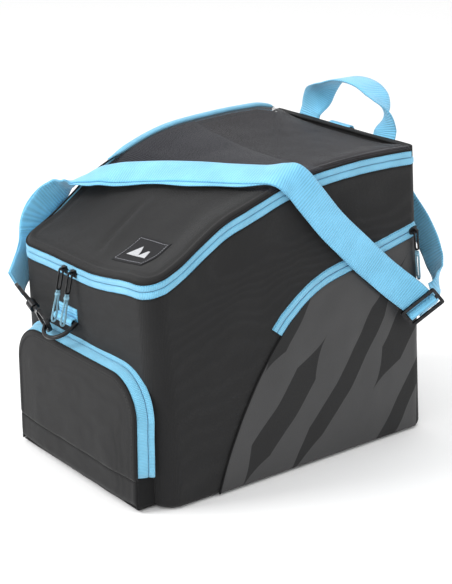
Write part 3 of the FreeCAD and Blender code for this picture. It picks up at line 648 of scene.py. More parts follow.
def outline_at(side, t):
    z = wall_top(side, t) - LID_DROP
    p, _n = wall_point(side, t, z)
    return Vector((p.x, p.y))


def side_t(side, y):
    """The t on the left or right wall whose top edge is at y."""
    low, high = 0.0, 1.0
    for _ in range(28):
        middle = (low + high) / 2
        ahead = outline_at(side, middle).y < y
        if side == "left":
            ahead = not ahead
        if ahead:
            low = middle
        else:
            high = middle
    return (low + high) / 2


def seam_t(side):
    return side_t(side, seam_y(-0.1305 if side == "left" else 0.1305))


def coons(front, rear, left, right, u, v):
    """A point inside four edge curves, each a function of 0..1."""
    a = front(u) * (1 - v) + rear(u) * v
    b = left(v) * (1 - u) + right(v) * u
    c = (front(0) * (1 - u) + front(1) * u) * (1 - v) + (rear(0) * (1 - u) + rear(1) * u) * v
    return a + b - c


def near_edges(count, low=True, high=True):
    ends = [0.0, 0.006, 0.012, 0.02, 0.03, 0.042, 0.055, 0.07]
    first = ends if low else [0.0]
    last = [1 - e for e in ends[::-1]] if high else [1.0]
    return first + steps(first[-1], last[0], count)[1:-1] + last


def lid_grid(edges, us, vs, name, material, thick, slot, node_name, drop=0.0):
    """A piece of the lid between its front, rear, left and right edges."""
    def place(u, v):
        xy = coons(*edges, u, v)
        return lid_surface(xy.x, xy.y, -drop)
    panel = sheet_mesh(name, place, us, vs, material, thick)
    place_in_frame(panel, "lid", slot, node_name)


def make_lid():
    left_t = seam_t("left")
    right_t = seam_t("right")
    rear_left = side_t("left", HINGE_Y)
    rear_right = side_t("right", HINGE_Y)
    back_left = side_t("left", 0.045)
    back_right = side_t("right", 0.045)

    def seam_edge(u):
        return outline_at("left", left_t).lerp(outline_at("right", right_t), u)

    def hinge_edge(u):
        return outline_at("left", rear_left).lerp(outline_at("right", rear_right), u)

    def inset(side, t):
        xy = outline_at(side, t)
        return Vector((xy.x * 0.955, xy.y * 0.97))

    edges = (lambda u: outline_at("front", u), seam_edge,
             lambda v: outline_at("left", 1 - v * (1 - left_t)), lambda v: outline_at("right", v * right_t))
    lid_grid(edges, near_edges(42), near_edges(34, high=False), "lid_front_cloth", FRONT_CLOTH, CLOTH_T,
             "fabric_front", "lid_front_panel")
    edges = (seam_edge, hinge_edge, lambda v: outline_at("left", left_t + v * (rear_left - left_t)),
             lambda v: outline_at("right", right_t + v * (rear_right - right_t)))
    lid_grid(edges, near_edges(42), steps(0, 1, 44), "lid_mesh_cloth_panel", MESH, 0.0,
             "mesh", "lid_mesh_panel")
    edges = (lambda u: inset("front", u),
             lambda u: inset("left", back_left).lerp(inset("right", back_right), u),
             lambda v: inset("left", 1 - v * (1 - back_left)), lambda v: inset("right", v * back_right))
    lid_grid(edges, steps(0, 1, 30), steps(0, 1, 30), "lid_underlay_cloth", NAVY_BACK, 0.0006,
             "fabric_front", "lid_underlay", 0.0046)

    normal = Vector((0, -0.3, 1)).normalized()
    seam = [seam_edge(u) for u in steps(0.015, 0.985, 90)]
    for name, shift in (("lid_seam_thread", 0.0028), ("lid_seam_thread_rear", -0.0028)):
        path = [(lid_surface(xy.x, xy.y + shift), normal) for xy in seam]
        stitches(name, path, DARK_THREAD, "lid")


def rim_path(count=60, to_hinge=True):
    """Stations along the lid's zip: up the left side, round the front and down the right side."""
    start = side_t("left", HINGE_Y) if to_hinge else 0.006
    stop = side_t("right", HINGE_Y) if to_hinge else 0.994
    left = [t for t in corner_steps(count) if t > start + 0.003]
    right = [t for t in corner_steps(count) if t < stop - 0.003]
    stations = [("left", start)] + [("left", t) for t in left[:-1]]
    stations += [("front", t) for t in corner_steps(count)[:-1]]
    stations += [("right", t) for t in right] + [("right", stop)]
    return stations


def rim_point(side, t, drop, out):
    z = wall_top(side, t) - drop
    soft = 0.0 if side == "front" else 0.0006 * rough(0, t * 0.5, 0, 0.03, 1.0)
    return wall_point(side, t, z, out + soft)[0]


def rim_band(name, profile, material, body, wobble=0.0004):
    """A closed strip swept along the lid's edge; profile is (drop, out) pairs."""
    rings = []
    for i, (side, t) in enumerate(rim_path(60, body == "lid")):
        wave = wobble * noise.noise(Vector((i * 0.35, 4.0, 0.0)))
        rings.append([rim_point(side, t, drop + wave, out) for drop, out in profile])
    return tube_mesh(name, rings, material, body)


def band_profile(top, bottom, out, back=-0.0014, curl=0.0008):
    """A tape's section: a low cushion between two drops, turned in at both edges."""
    span = bottom - top
    cushion = ((0.06, 0.62), (0.22, 0.95), (0.5, 1.0), (0.78, 0.92), (0.94, 0.55))
    middle = [(top + span * share, out * height) for share, height in cushion]
    return [(top, back), (top, curl * 0.2), *middle, (bottom, curl * 0.2), (bottom, back)]


def make_lid_zip():
    for name, top, bottom, body in (("lid_zip_upper", 0.0040, 0.0119, "lid"),
                                    ("lid_zip_lower", 0.0127, 0.0208, "bag")):
        band = rim_band(name, band_profile(top, bottom, 0.0013), ZIP, body)
        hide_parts(name + "_tape")
    slit = [(0.0116, -0.0016), (0.0116, -0.0004), (0.0123, -0.0001), (0.0130, -0.0004), (0.0130, -0.0016)]
    rim_band("lid_zip_slit", slit, ZIP_DARK, "bag")
    piping = [(0.0034 + 0.0014 * math.cos(turn), 0.0014 * math.sin(turn)) for turn in turns(8)]
    rim_band("lid_piping", piping, BLACK_TRIM, "lid")
    seam = [(0.0212 + 0.0009 * math.cos(turn), -0.0002 + 0.0008 * math.sin(turn)) for turn in turns(6)]
    rim_band("shell_top_seam", seam, BLACK_TRIM, "bag")
    for name, drop, body in (("upper_tape_thread", 0.0052, "lid"), ("lower_tape_thread", 0.0197, "bag")):
        path = [wall_point(side, t, wall_top(side, t) - drop, 0.0013 * 0.66) for side, t in rim_path(80)]
        stitches(name, path, BLUE_THREAD, body, pitch=0.0036, length=0.0022)


def make_left_edge():
    """On the left the zip's upper tape rolls over the lid's edge and shows from above."""
    rear_end = side_t("left", HINGE_Y)
    front_end = side_t("left", -0.085)
    rings = []
    for t in steps(rear_end, front_end, 90):
        share = (t - rear_end) / (front_end - rear_end)
        size = 0.35 + 0.65 * smooth(share / 0.06) * smooth((1 - share) / 0.10)
        p, facing = wall_point("left", t, wall_top("left", t) - LID_DROP)
        ring = []
        for turn in turns(14):
            across = 0.0046 * math.cos(turn) * size
            rise = 0.0036 * math.sin(turn) * size - 0.0006 * hump(math.cos(turn), 0.25) * (math.sin(turn) > 0)
            ring.append(p + facing * (across - 0.0030) + Vector((0, 0, 0.0044 + rise)))
        rings.append(ring)
    roll = tube_mesh("lid_left_edge_tape", rings, ZIP)
    place_in_frame(roll, "lid", "zip_tape", "lid_zip_upper_tape")


def make_rear_strip():
    """The sewn strip between the lid's hinge seam and the rear wall."""
    def place(u, v):
        y = 0.1736 + v * 0.0102
        bend = REAR_R ** 2 - (y - rear_y(REAR_HEIGHT) + REAR_R) ** 2
        half = half_width(REAR_HEIGHT) - REAR_R + math.sqrt(max(bend, 0.0)) - 0.0006
        x = (2 * u - 1) * half
        z = REAR_HEIGHT - 0.0006 + 0.0016 * math.sin(math.pi * v) - 0.0016 * v
        z += 0.0006 * rough(x, y, 0, 0.03, 4.0) - 0.0030 * smooth((abs(x) - half + 0.005) / 0.005)
        return Vector((x, y, z))
    strip = sheet_mesh("rear_seam_strip", place, near_edges(40), steps(0, 1, 7), SHADED_SIDE_CLOTH, CLOTH_T)
    place_in_frame(strip, "bag", "fabric_side", "rear_edge_strip")


LABEL_INSET = 0.0030
LABEL_MARKS = (((-0.017, -0.008), (-0.006, 0.008), (-0.001, 0.001), (0.004, -0.008)),
               ((0.002, -0.008), (0.009, 0.004), (0.012, 0.004), (0.018, -0.008)))


def make_label():
    """A cloth label with two plain peaks on it."""
    low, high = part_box("label_patch")
    size = high - low

    def place(u, v):
        d = min(u * size.x, (1 - u) * size.x, v * size.y, (1 - v) * size.y)
        lift = 0.0009 + 0.0004 * smooth(d / 0.002) - 0.0003 * hump(d - 0.0032, 0.0008)
        return lid_surface(low.x + u * size.x, low.y + v * size.y, lift)
    patch = sheet_mesh("label_cloth_patch", place, near_edges(30), near_edges(22), PATCH, 0.0011)
    place_in_frame(patch, "lid", "label", "label_patch")
    x0, x1 = low.x + LABEL_INSET, high.x - LABEL_INSET
    y0, y1 = low.y + LABEL_INSET, high.y - LABEL_INSET
    loop = [(x, y0) for x in steps(x0, x1, 30)] + [(x1, y) for y in steps(y0, y1, 22)]
    loop += [(x, y1) for x in steps(x1, x0, 30)] + [(x0, y) for y in steps(y1, y0, 22)]
    normal = Vector((0, -0.4, 1)).normalized()
    edge = [(lid_surface(x, y, 0.0013), normal) for x, y in loop]
    stitches("label_thread", edge, THREAD, "lid", pitch=0.0030, length=0.0019)
    middle = (low + high) / 2
    for index, shape in enumerate(LABEL_MARKS):
        points = [lid_surface(middle.x + x, middle.y + y, 0.0016) for x, y in shape]
        mark = add_mesh(f"label_mark_{index + 1}", points, [(0, 1, 2, 3)], MARK, shape, shade=False)
        face = mark.modifiers.new("cut", "SUBSURF")
        face.subdivision_type = "SIMPLE"
        face.levels = 2
        face.render_levels = 2
        thicken(mark, 0.0005)
        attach(mark, "lid")


# ---- front pocket ---------------------------------------------------------------------------
POCKET_X = 0.124
POCKET_TOP = 0.157
POCKET_R = 0.046
POCKET_Y = -0.226
POCKET_HINGE = 0.038
POCKET_FOOT = 0.043


def arch_path(grow, low, count=12):
    """Points up one side of the pocket, over its top and down the other side: (x, z, outward)."""
    x = POCKET_X + grow
    top = POCKET_TOP + grow
    r = POCKET_R + grow
    path = [(-x, z, (-1.0, 0.0)) for z in steps(low, top - r, count)[:-1]]
    for k in range(17):
        a = math.pi - math.pi / 2 * k / 16
        path.append((-x + r + r * math.cos(a), top - r + r * math.sin(a), (math.cos(a), math.sin(a))))
    path += [(v, top, (0.0, 1.0)) for v in steps(-x + r, x - r, 26)[1:-1]]
    for k in range(17):
        a = math.pi / 2 - math.pi / 2 * k / 16
        path.append((x - r + r * math.cos(a), top - r + r * math.sin(a), (math.cos(a), math.sin(a))))
    path += [(x, z, (1.0, 0.0)) for z in steps(top - r, low, count)[1:]]
    return path


def pocket_face(x, z, out=0.0):
    """The pocket's front cloth, softly filled; its edge turns back."""
    dx = POCKET_X - abs(x)
    dz = POCKET_TOP - z
    if dx < POCKET_R and dz < POCKET_R:
        d = POCKET_R - math.hypot(POCKET_R - dx, POCKET_R - dz)
    else:
        d = min(dx, dz)
    d = max(d, 0.0)
    roll = 0.0035
    back = roll - math.sqrt(max(roll ** 2 - max(roll - d, 0.0) ** 2, 0.0))
    fill = smooth(d / 0.05)
    wave = 0.0011 * rough(x, 0, z, 0.05, 6.0) + 0.0005 * rough(x, 0, z, 0.018, 8.0)
    bulge = 0.0030 * fill * (1 - 0.5 * (z / POCKET_TOP)) + fill * wave
    seam = -0.0003 * hump(z - POCKET_HINGE, 0.0020)
    edge = 0.0006 * hump(d - 0.0045, 0.0015)
    return Vector((x, POCKET_Y + back - bulge - seam - edge - out, z))


def pocket_corner(sign, angle):
    """A point on the pocket's rounded top corner."""
    return Vector((sign * (POCKET_X - POCKET_R) + POCKET_R * math.cos(angle),
                   POCKET_TOP - POCKET_R + POCKET_R * math.sin(angle)))


def pocket_side(sign, v):
    """The flap's left or right edge, from the hinge to the middle of the top corner."""
    low = POCKET_HINGE + 0.0003
    straight = POCKET_TOP - POCKET_R - low
    s = v * (straight + math.pi / 4 * POCKET_R)
    if s < straight:
        return Vector((sign * POCKET_X, low + s))
    a = (s - straight) / POCKET_R
    return pocket_corner(sign, a if sign > 0 else math.pi - a)


def pocket_top(u):
    arc = math.pi / 4 * POCKET_R
    straight = 2 * (POCKET_X - POCKET_R)
    s = u * (straight + 2 * arc)
    if s < arc:
        return pocket_corner(-1, math.pi * 3 / 4 - s / POCKET_R)
    if s > arc + straight:
        return pocket_corner(1, math.pi / 2 - (s - arc - straight) / POCKET_R)
    return Vector((-POCKET_X + POCKET_R + s - arc, POCKET_TOP))


def pocket_tape(name, near, far, node_name, body):
    """A tape round the pocket between two (y, growth) edges."""
    (y0, grow0), (y1, grow1) = near, far
    section = ((0.0, -0.0014), (0.0, 0.0002), (0.07, 0.0008), (0.25, 0.0013), (0.5, 0.0014), (0.75, 0.0013),
               (0.93, 0.0008), (1.0, 0.0002), (1.0, -0.0014))
    arches = [arch_path(grow0 + (grow1 - grow0) * share + out, POCKET_FOOT) for share, out in section]
    rings = []
    for index in range(len(arches[0])):
        wave = 0.0004 * noise.noise(Vector((index * 0.3, 1.0, 2.0)))
        rings.append([Vector((arch[index][0], y0 + (y1 - y0) * share + wave, arch[index][1]))
                      for arch, (share, _out) in zip(arches, section)])
    band = tube_mesh(name, rings, ZIP, body)
    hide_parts(node_name)


def make_front_pocket():
    def flap(u, v):
        at = coons(lambda a: Vector(((2 * a - 1) * POCKET_X, POCKET_HINGE + 0.0003)), pocket_top,
                   lambda a: pocket_side(-1, a), lambda a: pocket_side(1, a), u, v)
        return pocket_face(at.x, at.y)
    face = sheet_mesh("front_pocket_cloth", flap, near_edges(50), near_edges(34, low=False), FRONT_CLOTH,
                      CLOTH_T)
    place_in_frame(face, "front_pocket_flap", "fabric_front", "front_pocket_flap")

    def base(u, v):
        z = 0.0035 + v * (POCKET_HINGE - 0.0003 - 0.0035)
        p = pocket_face((2 * u - 1) * POCKET_X, z)
        p.y += 0.006 * hump(z - 0.0030, 0.0050)
        return p
    lower = sheet_mesh("front_pocket_foot_cloth", base, near_edges(50), steps(0, 1, 12), FRONT_CLOTH, CLOTH_T)
    place_in_frame(lower, "bag", "fabric_front", "front_pocket_base")

    def under(u, v):
        x = (2 * u - 1) * (POCKET_X - 0.001)
        y = POCKET_Y + 0.004 + v * 0.0235
        return Vector((x, y, 0.0034 + 0.0008 * rough(x, y, 0, 0.03, 1.5)))
    floor = sheet_mesh("front_pocket_floor_cloth", under, steps(0, 1, 24), steps(0, 1, 5), SHADED_SIDE_CLOTH, 0.0012)
    place_in_frame(floor, "bag", None, "front_pocket_base")

    pocket_tape("front_pocket_zip_outer", (-0.2228, 0.0), (-0.2119, 0.0046), "front_pocket_zip_outer_tape",
                "front_pocket_flap")
    pocket_tape("front_pocket_zip_inner", (-0.2111, 0.0050), (-0.2055, 0.0088), "front_pocket_zip_inner_tape",
                "bag")
    section = ((-0.2122, -0.001), (-0.2119, 0.0010), (-0.2111, 0.0010), (-0.2108, -0.001))
    slit = [[Vector((x + ox * o, y, z + oz * o)) for y, o in section]
            for x, z, (ox, oz) in arch_path(0.0034, POCKET_FOOT)]
    tube_mesh("front_pocket_slit", slit, ZIP_DARK, "bag")
    section = [(-0.2238 + 0.0013 * math.sin(turn), -0.0004 + 0.0013 * math.cos(turn)) for turn in turns(8)]
    piping = [[Vector((x + ox * o, y, z + oz * o)) for y, o in section]
              for x, z, (ox, oz) in arch_path(0.0, 0.041)]
    tube_mesh("front_pocket_piping", piping, BLACK_TRIM, "front_pocket_flap")

    for sign, name in ((-1, "left"), (1, "right")):
        def tab(u, v, sign=sign):
            bow = 0.0012 * math.sin(math.pi * u) * math.sin(math.pi * v)
            return Vector((sign * (POCKET_X + bow - 0.0004), -0.2245 + u * 0.0235, 0.0042 + v * 0.0385))
        piece = sheet_mesh(f"front_pocket_{name}_end_tab", tab, steps(0, 1, 10), steps(0, 1, 12), BLACK_TRIM,
                           CLOTH_T, flip=sign < 0)
        place_in_frame(piece, "bag", "fabric_side", "front_pocket_end_tabs")
    path = [(pocket_face(x, z, 0.0001), Vector((0, -1, 0))) for x, z, _o in arch_path(-0.0065, 0.042)]
    stitches("front_pocket_thread", path, DARK_THREAD, "front_pocket_flap")


# ---- side pocket ----------------------------------------------------------------------------
def right_t(y, z):
    low, high = 0.0, 1.0
    for _ in range(26):
        middle = (low + high) / 2
        if wall_point("right", middle, z)[0].y < y:
            low = middle
        else:
            high = middle
    return (low + high) / 2


def right_wall(y, z, out):
    """A point that far outside the right wall's soft face."""
    t = right_t(y, z)
    return shell_point("right", t, z) + wall_point("right", t, z)[1] * out


def right_facing(y, z):
    return wall_point("right", right_t(y, z), z)[1]


ZIP_BEND = Vector((0.050, 0.232))
ZIP_REAR = Vector((0.184, 0.261))
ZIP_FRONT = Vector((-0.038, 0.178))
SEAM_MID = Vector((-0.088, 0.092))
SEAM_FOOT = Vector((-0.125, 0.003))
REAR_FOOT = Vector((0.186, 0.003))
TAPE_EDGE = 0.0083


def side_zip_frame():
    along = (ZIP_REAR - ZIP_BEND).normalized()
    down = Vector((along.y, -along.x))
    back = ZIP_FRONT - ZIP_BEND
    radius = back.dot(back) / (2 * back.dot(down))
    return along, down, radius, ZIP_BEND + down * radius


def side_zip_point(share, offset):
    """Along the pocket's zip from its low front end to its rear end, moved out by offset."""
    along, down, radius, centre = side_zip_frame()
    start = ZIP_FRONT - centre
    arc = start.angle(ZIP_BEND - centre) * radius
    s = share * (arc + (ZIP_REAR - ZIP_BEND).length)
    if s > arc:
        return ZIP_BEND + along * (s - arc) - down * offset
    a = math.atan2(start.y, start.x) - s / radius
    return centre + Vector((math.cos(a), math.sin(a))) * (radius + offset)


def front_seam_point(share, top):
    """The pocket's front seam, from the foot up to the zip, bowed through its middle point."""
    control = (SEAM_MID - SEAM_FOOT * 0.25 - top * 0.25) * 2
    return SEAM_FOOT * (1 - share) ** 2 + control * 2 * share * (1 - share) + top * share ** 2


def side_strip(offsets, shares, wobble=0.0):
    """Rings along the side pocket's zip; offsets is (offset, out) pairs."""
    rings = []
    for index, share in enumerate(shares):
        wave = wobble * noise.noise(Vector((index * 0.3, 7.0, 2.0)))
        spots = [(side_zip_point(share, offset + wave), out) for offset, out in offsets]
        rings.append([right_wall(at.x, at.y, out) for at, out in spots])
    return rings


def make_side_pocket():
    top0 = side_zip_point(0.0, -TAPE_EDGE)
    rear_top = side_zip_point(1.0, -TAPE_EDGE)

    def pocket(u, v):
        at = coons(lambda a: SEAM_FOOT.lerp(REAR_FOOT, a), lambda a: side_zip_point(a, -TAPE_EDGE),
                   lambda a: front_seam_point(a, top0), lambda a: REAR_FOOT.lerp(rear_top, a), u, v)
        edge = min(u, 1 - u, 1.2 * v, 1 - v)
        fill = smooth(edge / 0.22)
        fill *= 1 - 0.9 * smooth((at.x - 0.10) / 0.05) * smooth((at.y - 0.12) / 0.05)
        crease = 0.0016 * rough(0, at.x, at.y, 0.06, 12.0) + 0.0005 * rough(0, at.x, at.y, 0.02, 3.0)
        return right_wall(at.x, at.y, 0.0012 + fill * (0.0022 + crease) + 0.0008 * smooth(edge / 0.02))
    panel = sheet_mesh("side_pocket_cloth", pocket, near_edges(50), near_edges(44), PRINT, CLOTH_T)
    place_in_frame(panel, "bag", "fabric_print", "side_pocket_panel")

    section = ((0.0, -0.0004), (0.0, 0.0006), (0.07, 0.0014), (0.25, 0.0019), (0.5, 0.0020), (0.75, 0.0019),
               (0.93, 0.0014), (1.0, 0.0006), (1.0, -0.0004))
    shares = steps(0.0, 0.992, 110)
    for name, inner, outer in (("side_pocket_zip_lower", -TAPE_EDGE, -0.0003),
                               ("side_pocket_zip_upper", 0.0003, TAPE_EDGE)):
        offsets = [(inner + (outer - inner) * cross, out) for cross, out in section]
        band = tube_mesh(name, side_strip(offsets, shares, 0.0004), ZIP, "bag")
        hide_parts(name + "_tape")
    slit = side_strip(((-0.0007, 0.0003), (-0.0007, 0.0011), (0.0007, 0.0011), (0.0007, 0.0003)), shares)
    tube_mesh("side_pocket_slit", slit, ZIP_DARK, "bag")
    for name, offset in (("side_zip_lower_thread", -0.0074), ("side_zip_upper_thread", 0.0074)):
        spots = [side_zip_point(share, offset) for share in steps(0.0, 0.99, 120)]
        path = [(right_wall(at.x, at.y, 0.0016), right_facing(at.x, at.y)) for at in spots]
        stitches(name, path, BLUE_THREAD, "bag", pitch=0.0036, length=0.0022)
    seam = []
    for share in steps(0.0, 1.0, 60):
        at = front_seam_point(share, top0)
        facing = right_facing(at.x, at.y)
        p = right_wall(at.x, at.y, 0.0016)
        run = front_seam_point(min(share + 0.01, 1.0), top0) - front_seam_point(max(share - 0.01, 0.0), top0)
        side = facing.cross(Vector((0, run.x, run.y)).normalized())
        seam.append([p + (facing * math.cos(a) + side * math.sin(a)) * 0.0012 for a in turns(8)])
    tube_mesh("side_pocket_piping", seam, BLACK_TRIM, "bag")


# ---- webbing --------------------------------------------------------------------------------
STRAP_FRONT = [
    ((-0.1202, -0.2257, 0.2053), (0.22, -0.63, 0.75)), ((-0.129, -0.217, 0.2115), (0.14, -0.50, 0.86)),
    ((-0.1385, -0.2035, 0.221), (0.05, -0.48, 0.87)), ((-0.146, -0.189, 0.235), (-0.05, -0.68, 0.73)),
    ((-0.150, -0.182, 0.250), (-0.05, -0.88, 0.46)), ((-0.152, -0.179, 0.266), (0.0, -0.96, 0.28)),
    ((-0.152, -0.172, 0.280), (0.0, -0.85, 0.53)), ((-0.151, -0.160, 0.2915), (0.0, -0.66, 0.75)),
    ((-0.1455, -0.146, 0.303), (0.15, -0.78, 0.60)), ((-0.139, -0.137, 0.3095), (0.42, -0.76, 0.36)),
    ((-0.130, -0.128, 0.315), (0.60, -0.79, 0.05)),
    ((-0.106, -0.112, 0.325), (0.52, -0.82, -0.25)), ((-0.078, -0.097, 0.330), (0.45, -0.80, -0.40)),
    ((-0.040, -0.079, 0.3365), (0.36, -0.84, -0.40)), ((0.004, -0.062, 0.343), (0.33, -0.87, -0.36)),
    ((0.054, -0.045, 0.3485), (0.30, -0.89, -0.33)), ((0.096, -0.032, 0.354), (0.26, -0.90, -0.32)),
    ((0.122, -0.022, 0.3585), (0.15, -0.90, -0.38)), ((0.136, -0.011, 0.353), (0.05, -0.85, -0.50)),
    ((0.1425, 0.006, 0.331), (0.0, -0.75, -0.66)), ((0.1435, 0.040, 0.292), (0.0, -0.70, -0.71)),
    ((0.1445, 0.082, 0.253), (0.0, -0.70, -0.71)), ((0.1475, 0.117, 0.220), (-0.05, -0.74, -0.67)),
    ((0.152, 0.145, 0.196), (-0.24, -0.84, -0.48)), ((0.1575, 0.167, 0.177), (-0.44, -0.87, -0.21)),
    ((0.160, 0.176, 0.166), (-0.44, -0.87, -0.21))]
STRAP_REAR = [
    ((0.1595, 0.1790, 0.1655), (-0.55, 0.12, -0.75)), ((0.1560, 0.1890, 0.1710), (-0.48, 0.42, -0.72)),
    ((0.1515, 0.201, 0.180), (-0.26, 0.86, -0.44)), ((0.150, 0.209, 0.190), (-0.42, 0.58, -0.70)),
    ((0.142, 0.216, 0.200), (-0.60, 0.22, -0.76)), ((0.130, 0.220, 0.215), (-0.76, 0.08, -0.64)),
    ((0.117, 0.221, 0.234), (-0.76, 0.0, -0.65)), ((0.101, 0.221, 0.253), (-0.71, 0.0, -0.70)),
    ((0.084, 0.217, 0.272), (-0.66, 0.0, -0.75)), ((0.072, 0.2115, 0.288), (-0.56, -0.02, -0.83)),
    ((0.064, 0.209, 0.2985), (-0.50, -0.02, -0.86))]
STRAP_WIDTH = 0.040
STRAP_T = 0.0018


def tangent_at(line, i):
    return (line[min(i + 1, len(line) - 1)] - line[max(i - 1, 0)]).normalized()


def through(points, per_span):
    """A smooth line through every point, with per_span steps between two of them."""
    line = []
    for i in range(len(points) - 1):
        p0 = points[max(i - 1, 0)]
        p1 = points[i]
        p2 = points[i + 1]
        p3 = points[min(i + 2, len(points) - 1)]
        for k in range(per_span):
            t = k / per_span
            line.append(p1 * (2 * t ** 3 - 3 * t ** 2 + 1) + p2 * (3 * t ** 2 - 2 * t ** 3)
                        + (p2 - p0) * 0.5 * (t ** 3 - 2 * t ** 2 + t) + (p3 - p1) * 0.5 * (t ** 3 - t ** 2))
    line.append(points[-1])
    return line


def nurbs(name, points):
    """A curve over the points, as an object and its data."""
    data = bpy.data.curves.new(name, "CURVE")
    data.dimensions = "3D"
    spline = data.splines.new("NURBS")
    spline.points.add(len(points) - 1)
    for item, p in zip(spline.points, points):
        item.co = (*p, 1.0)
    spline.order_u = 3
    spline.use_endpoint_u = True
    curve = bpy.data.objects.new(name, data)
    bpy.context.scene.collection.objects.link(curve)
    return curve, data


def route(name, stations):
    """The points of a smooth curve over the stations."""
    curve, data = nurbs(name, through([Vector(centre) for centre, _w in stations], 6))
    data.resolution_u = 4
    bpy.context.view_layer.update()
    read = bpy.data.meshes.new_from_object(curve)
    line = [v.co.copy() for v in read.vertices]
    bpy.data.objects.remove(curve)
    bpy.data.meshes.remove(read)
    return line


def square_to(tangent, width):
    return (width - tangent * width.dot(tangent)).normalized()


def strip_frames(line, stations):
    """(point, across, face) along the line, between the stations' own width directions."""
    keys = []
    for centre, _w in stations:
        keys.append(min(range(len(line)), key=lambda i, at=Vector(centre): (line[i] - at).length))
    keys[0] = 0
    keys[-1] = len(line) - 1
    frames = []
    last = None
    spot = 0
    for i, p in enumerate(line):
        while spot < len(keys) - 2 and i > keys[spot + 1]:
            spot += 1
        a, b = keys[spot], keys[spot + 1]
        t = smooth((i - a) / max(b - a, 1)) if b > a else 0.0
        tangent = tangent_at(line, i)
        first, second = (square_to(tangent, Vector(stations[k][1])) for k in (spot, spot + 1))
        if first.dot(second) < 0:
            second = -second
        across = first.lerp(second, t).normalized()
        if last is not None and across.dot(last) < 0:
            across = -across
        last = across
        frames.append((p, across, tangent.cross(across).normalized()))
    return frames


def web_strip(name, frames, width, thickness, material, shift=None, cup=0.0):
    """Flat webbing along frames: rounded edges, UV x along it. shift(share) is (across, out)."""
    half = width / 2
    t = thickness / 2
    flat = half - t * 0.6
    section = [(a * flat, t) for a in steps(-1, 1, 9)] + [(half, 0.0)]
    section += [(a * flat, -t) for a in steps(1, -1, 9)] + [(-half, 0.0)]
    rings = []
    for i, (p, across, face) in enumerate(frames):
        dx, dn = shift(i / (len(frames) - 1)) if shift else (0.0, 0.0)
        rings.append([p + across * (x + dx) + face * (n + dn + cup * (1 - (x / half) ** 2))
                      for x, n in section])
    return tube_mesh(name, rings, material)


def outward(frames, centre):
    """Flips the faces so that they look away from the centre at the middle of the strip."""
    p, _a, face = frames[len(frames) // 2]
    if face.dot(p - centre) < 0:
        return [(q, a, -f) for q, a, f in frames]
    return frames


def under_shift(share):
    """The strap's lower layer shows beside the upper one where they lie on the lid."""
    on_lid = smooth((share - 0.30) / 0.08) * smooth((0.68 - share) / 0.06)
    wave = 0.0016 * math.sin(share * 46) + 0.0010 * math.sin(share * 90 + 1)
    return 0.0042 * 1.2 * on_lid + wave * (0.4 + 0.6 * on_lid), -0.00090


def make_strap():
    middle = Vector((0, 0, 0.15))
    line = route("strap_front_route", STRAP_FRONT)
    frames = outward(strip_frames(line, STRAP_FRONT), middle)
    upper = web_strip("strap_front_upper", frames, STRAP_WIDTH, 0.0017, WEB,
                      lambda share: (0.0, 0.00095), 0.0004)
    under = web_strip("strap_front_under", frames, STRAP_WIDTH * 0.985, 0.0016, WEB, under_shift)
    for piece in (upper, under):
        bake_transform(piece)
        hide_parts("strap_front_run")
    frames = outward(strip_frames(route("strap_rear_route", STRAP_REAR), STRAP_REAR), middle)
    rear = web_strip("strap_rear_web", frames, STRAP_WIDTH, STRAP_T, WEB, cup=0.0004)
    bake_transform(rear)
    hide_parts("strap_rear_run")


def make_adjuster_web():
    """The fold of webbing round the adjuster's middle bar."""
    a = Vector(STRAP_FRONT[-2][0])
    b = Vector(STRAP_FRONT[-1][0])
    along = (b - a).normalized()
    across = square_to(along, Vector(STRAP_FRONT[-1][1]))
    normal = across.cross(along)
    if normal.x < 0:
        normal = -normal
    at = b - along * 0.004 + normal * (STRAP_T + 0.0007)
    path = [at - along * 0.0042 + normal * 0.0006, at - along * 0.0040 + normal * 0.0030]
    for turn in steps(0, math.pi, 9):
        path.append(at + normal * (0.0026 + 0.0020 * math.sin(turn)) - along * 0.0036 * math.cos(turn))
    path += [at + along * 0.0040 + normal * 0.0024, at + along * 0.0042 + normal * 0.0006]
    line = through(path, 3)
    frames = [(p, across, tangent_at(line, i).cross(across).normalized()) for i, p in enumerate(line)]
    loop = web_strip("adjuster_web", frames, STRAP_WIDTH - 0.001, 0.0016, WEB)
    place_in_frame(loop, "adjuster", "webbing", "strap_end_loop")


def handle_stations():
    """(centre, width direction) over the handle's loop, from its right end to its left."""
    top, spread, rise, lean = 0.355, 0.070, 0.062, 0.014
    y = 0.18553
    half = [((spread, y, top + 0.001), (-1.0, 0.0, 0.0)),
            ((0.99 * spread, y + 0.22 * lean, top + 0.20 * rise), (-1.0, 0.0, 0.0)),
            ((0.93 * spread, y + 0.50 * lean, top + 0.42 * rise), (-0.90, 0.40, 0.0)),
            ((0.80 * spread, y + 0.72 * lean, top + 0.64 * rise), (-0.60, 0.78, 0.1)),
            ((0.60 * spread, y + 0.88 * lean, top + 0.83 * rise), (-0.30, 0.95, 0.1)),
            ((0.33 * spread, y + 0.97 * lean, top + 0.96 * rise), (-0.05, 1.0, 0.0))]
    crown = ((0.0, y + lean, top + rise), (0.0, 1.0, 0.0))
    return half + [crown] + [((-x, py, z), (-wx, wy, wz)) for (x, py, z), (wx, wy, wz) in half[::-1]]


def handle_frames():
    stations = handle_stations()
    per_span = 8
    line = through([Vector(c) for c, _w in stations], per_span)
    frames = []
    for i, p in enumerate(line):
        tangent = tangent_at(line, i)
        k = min(i // per_span, len(stations) - 2)
        first = Vector(stations[k][1])
        second = Vector(stations[k + 1][1])
        if first.dot(second) < 0:
            second = -second
        across = square_to(tangent, first.lerp(second, i / per_span - k))
        if frames and across.dot(frames[-1][1]) < 0:
            across = -across
        frames.append((p, across, tangent.cross(across).normalized()))
    return frames


HANDLE_X = 0.070
HANDLE_WIDTH = 0.038


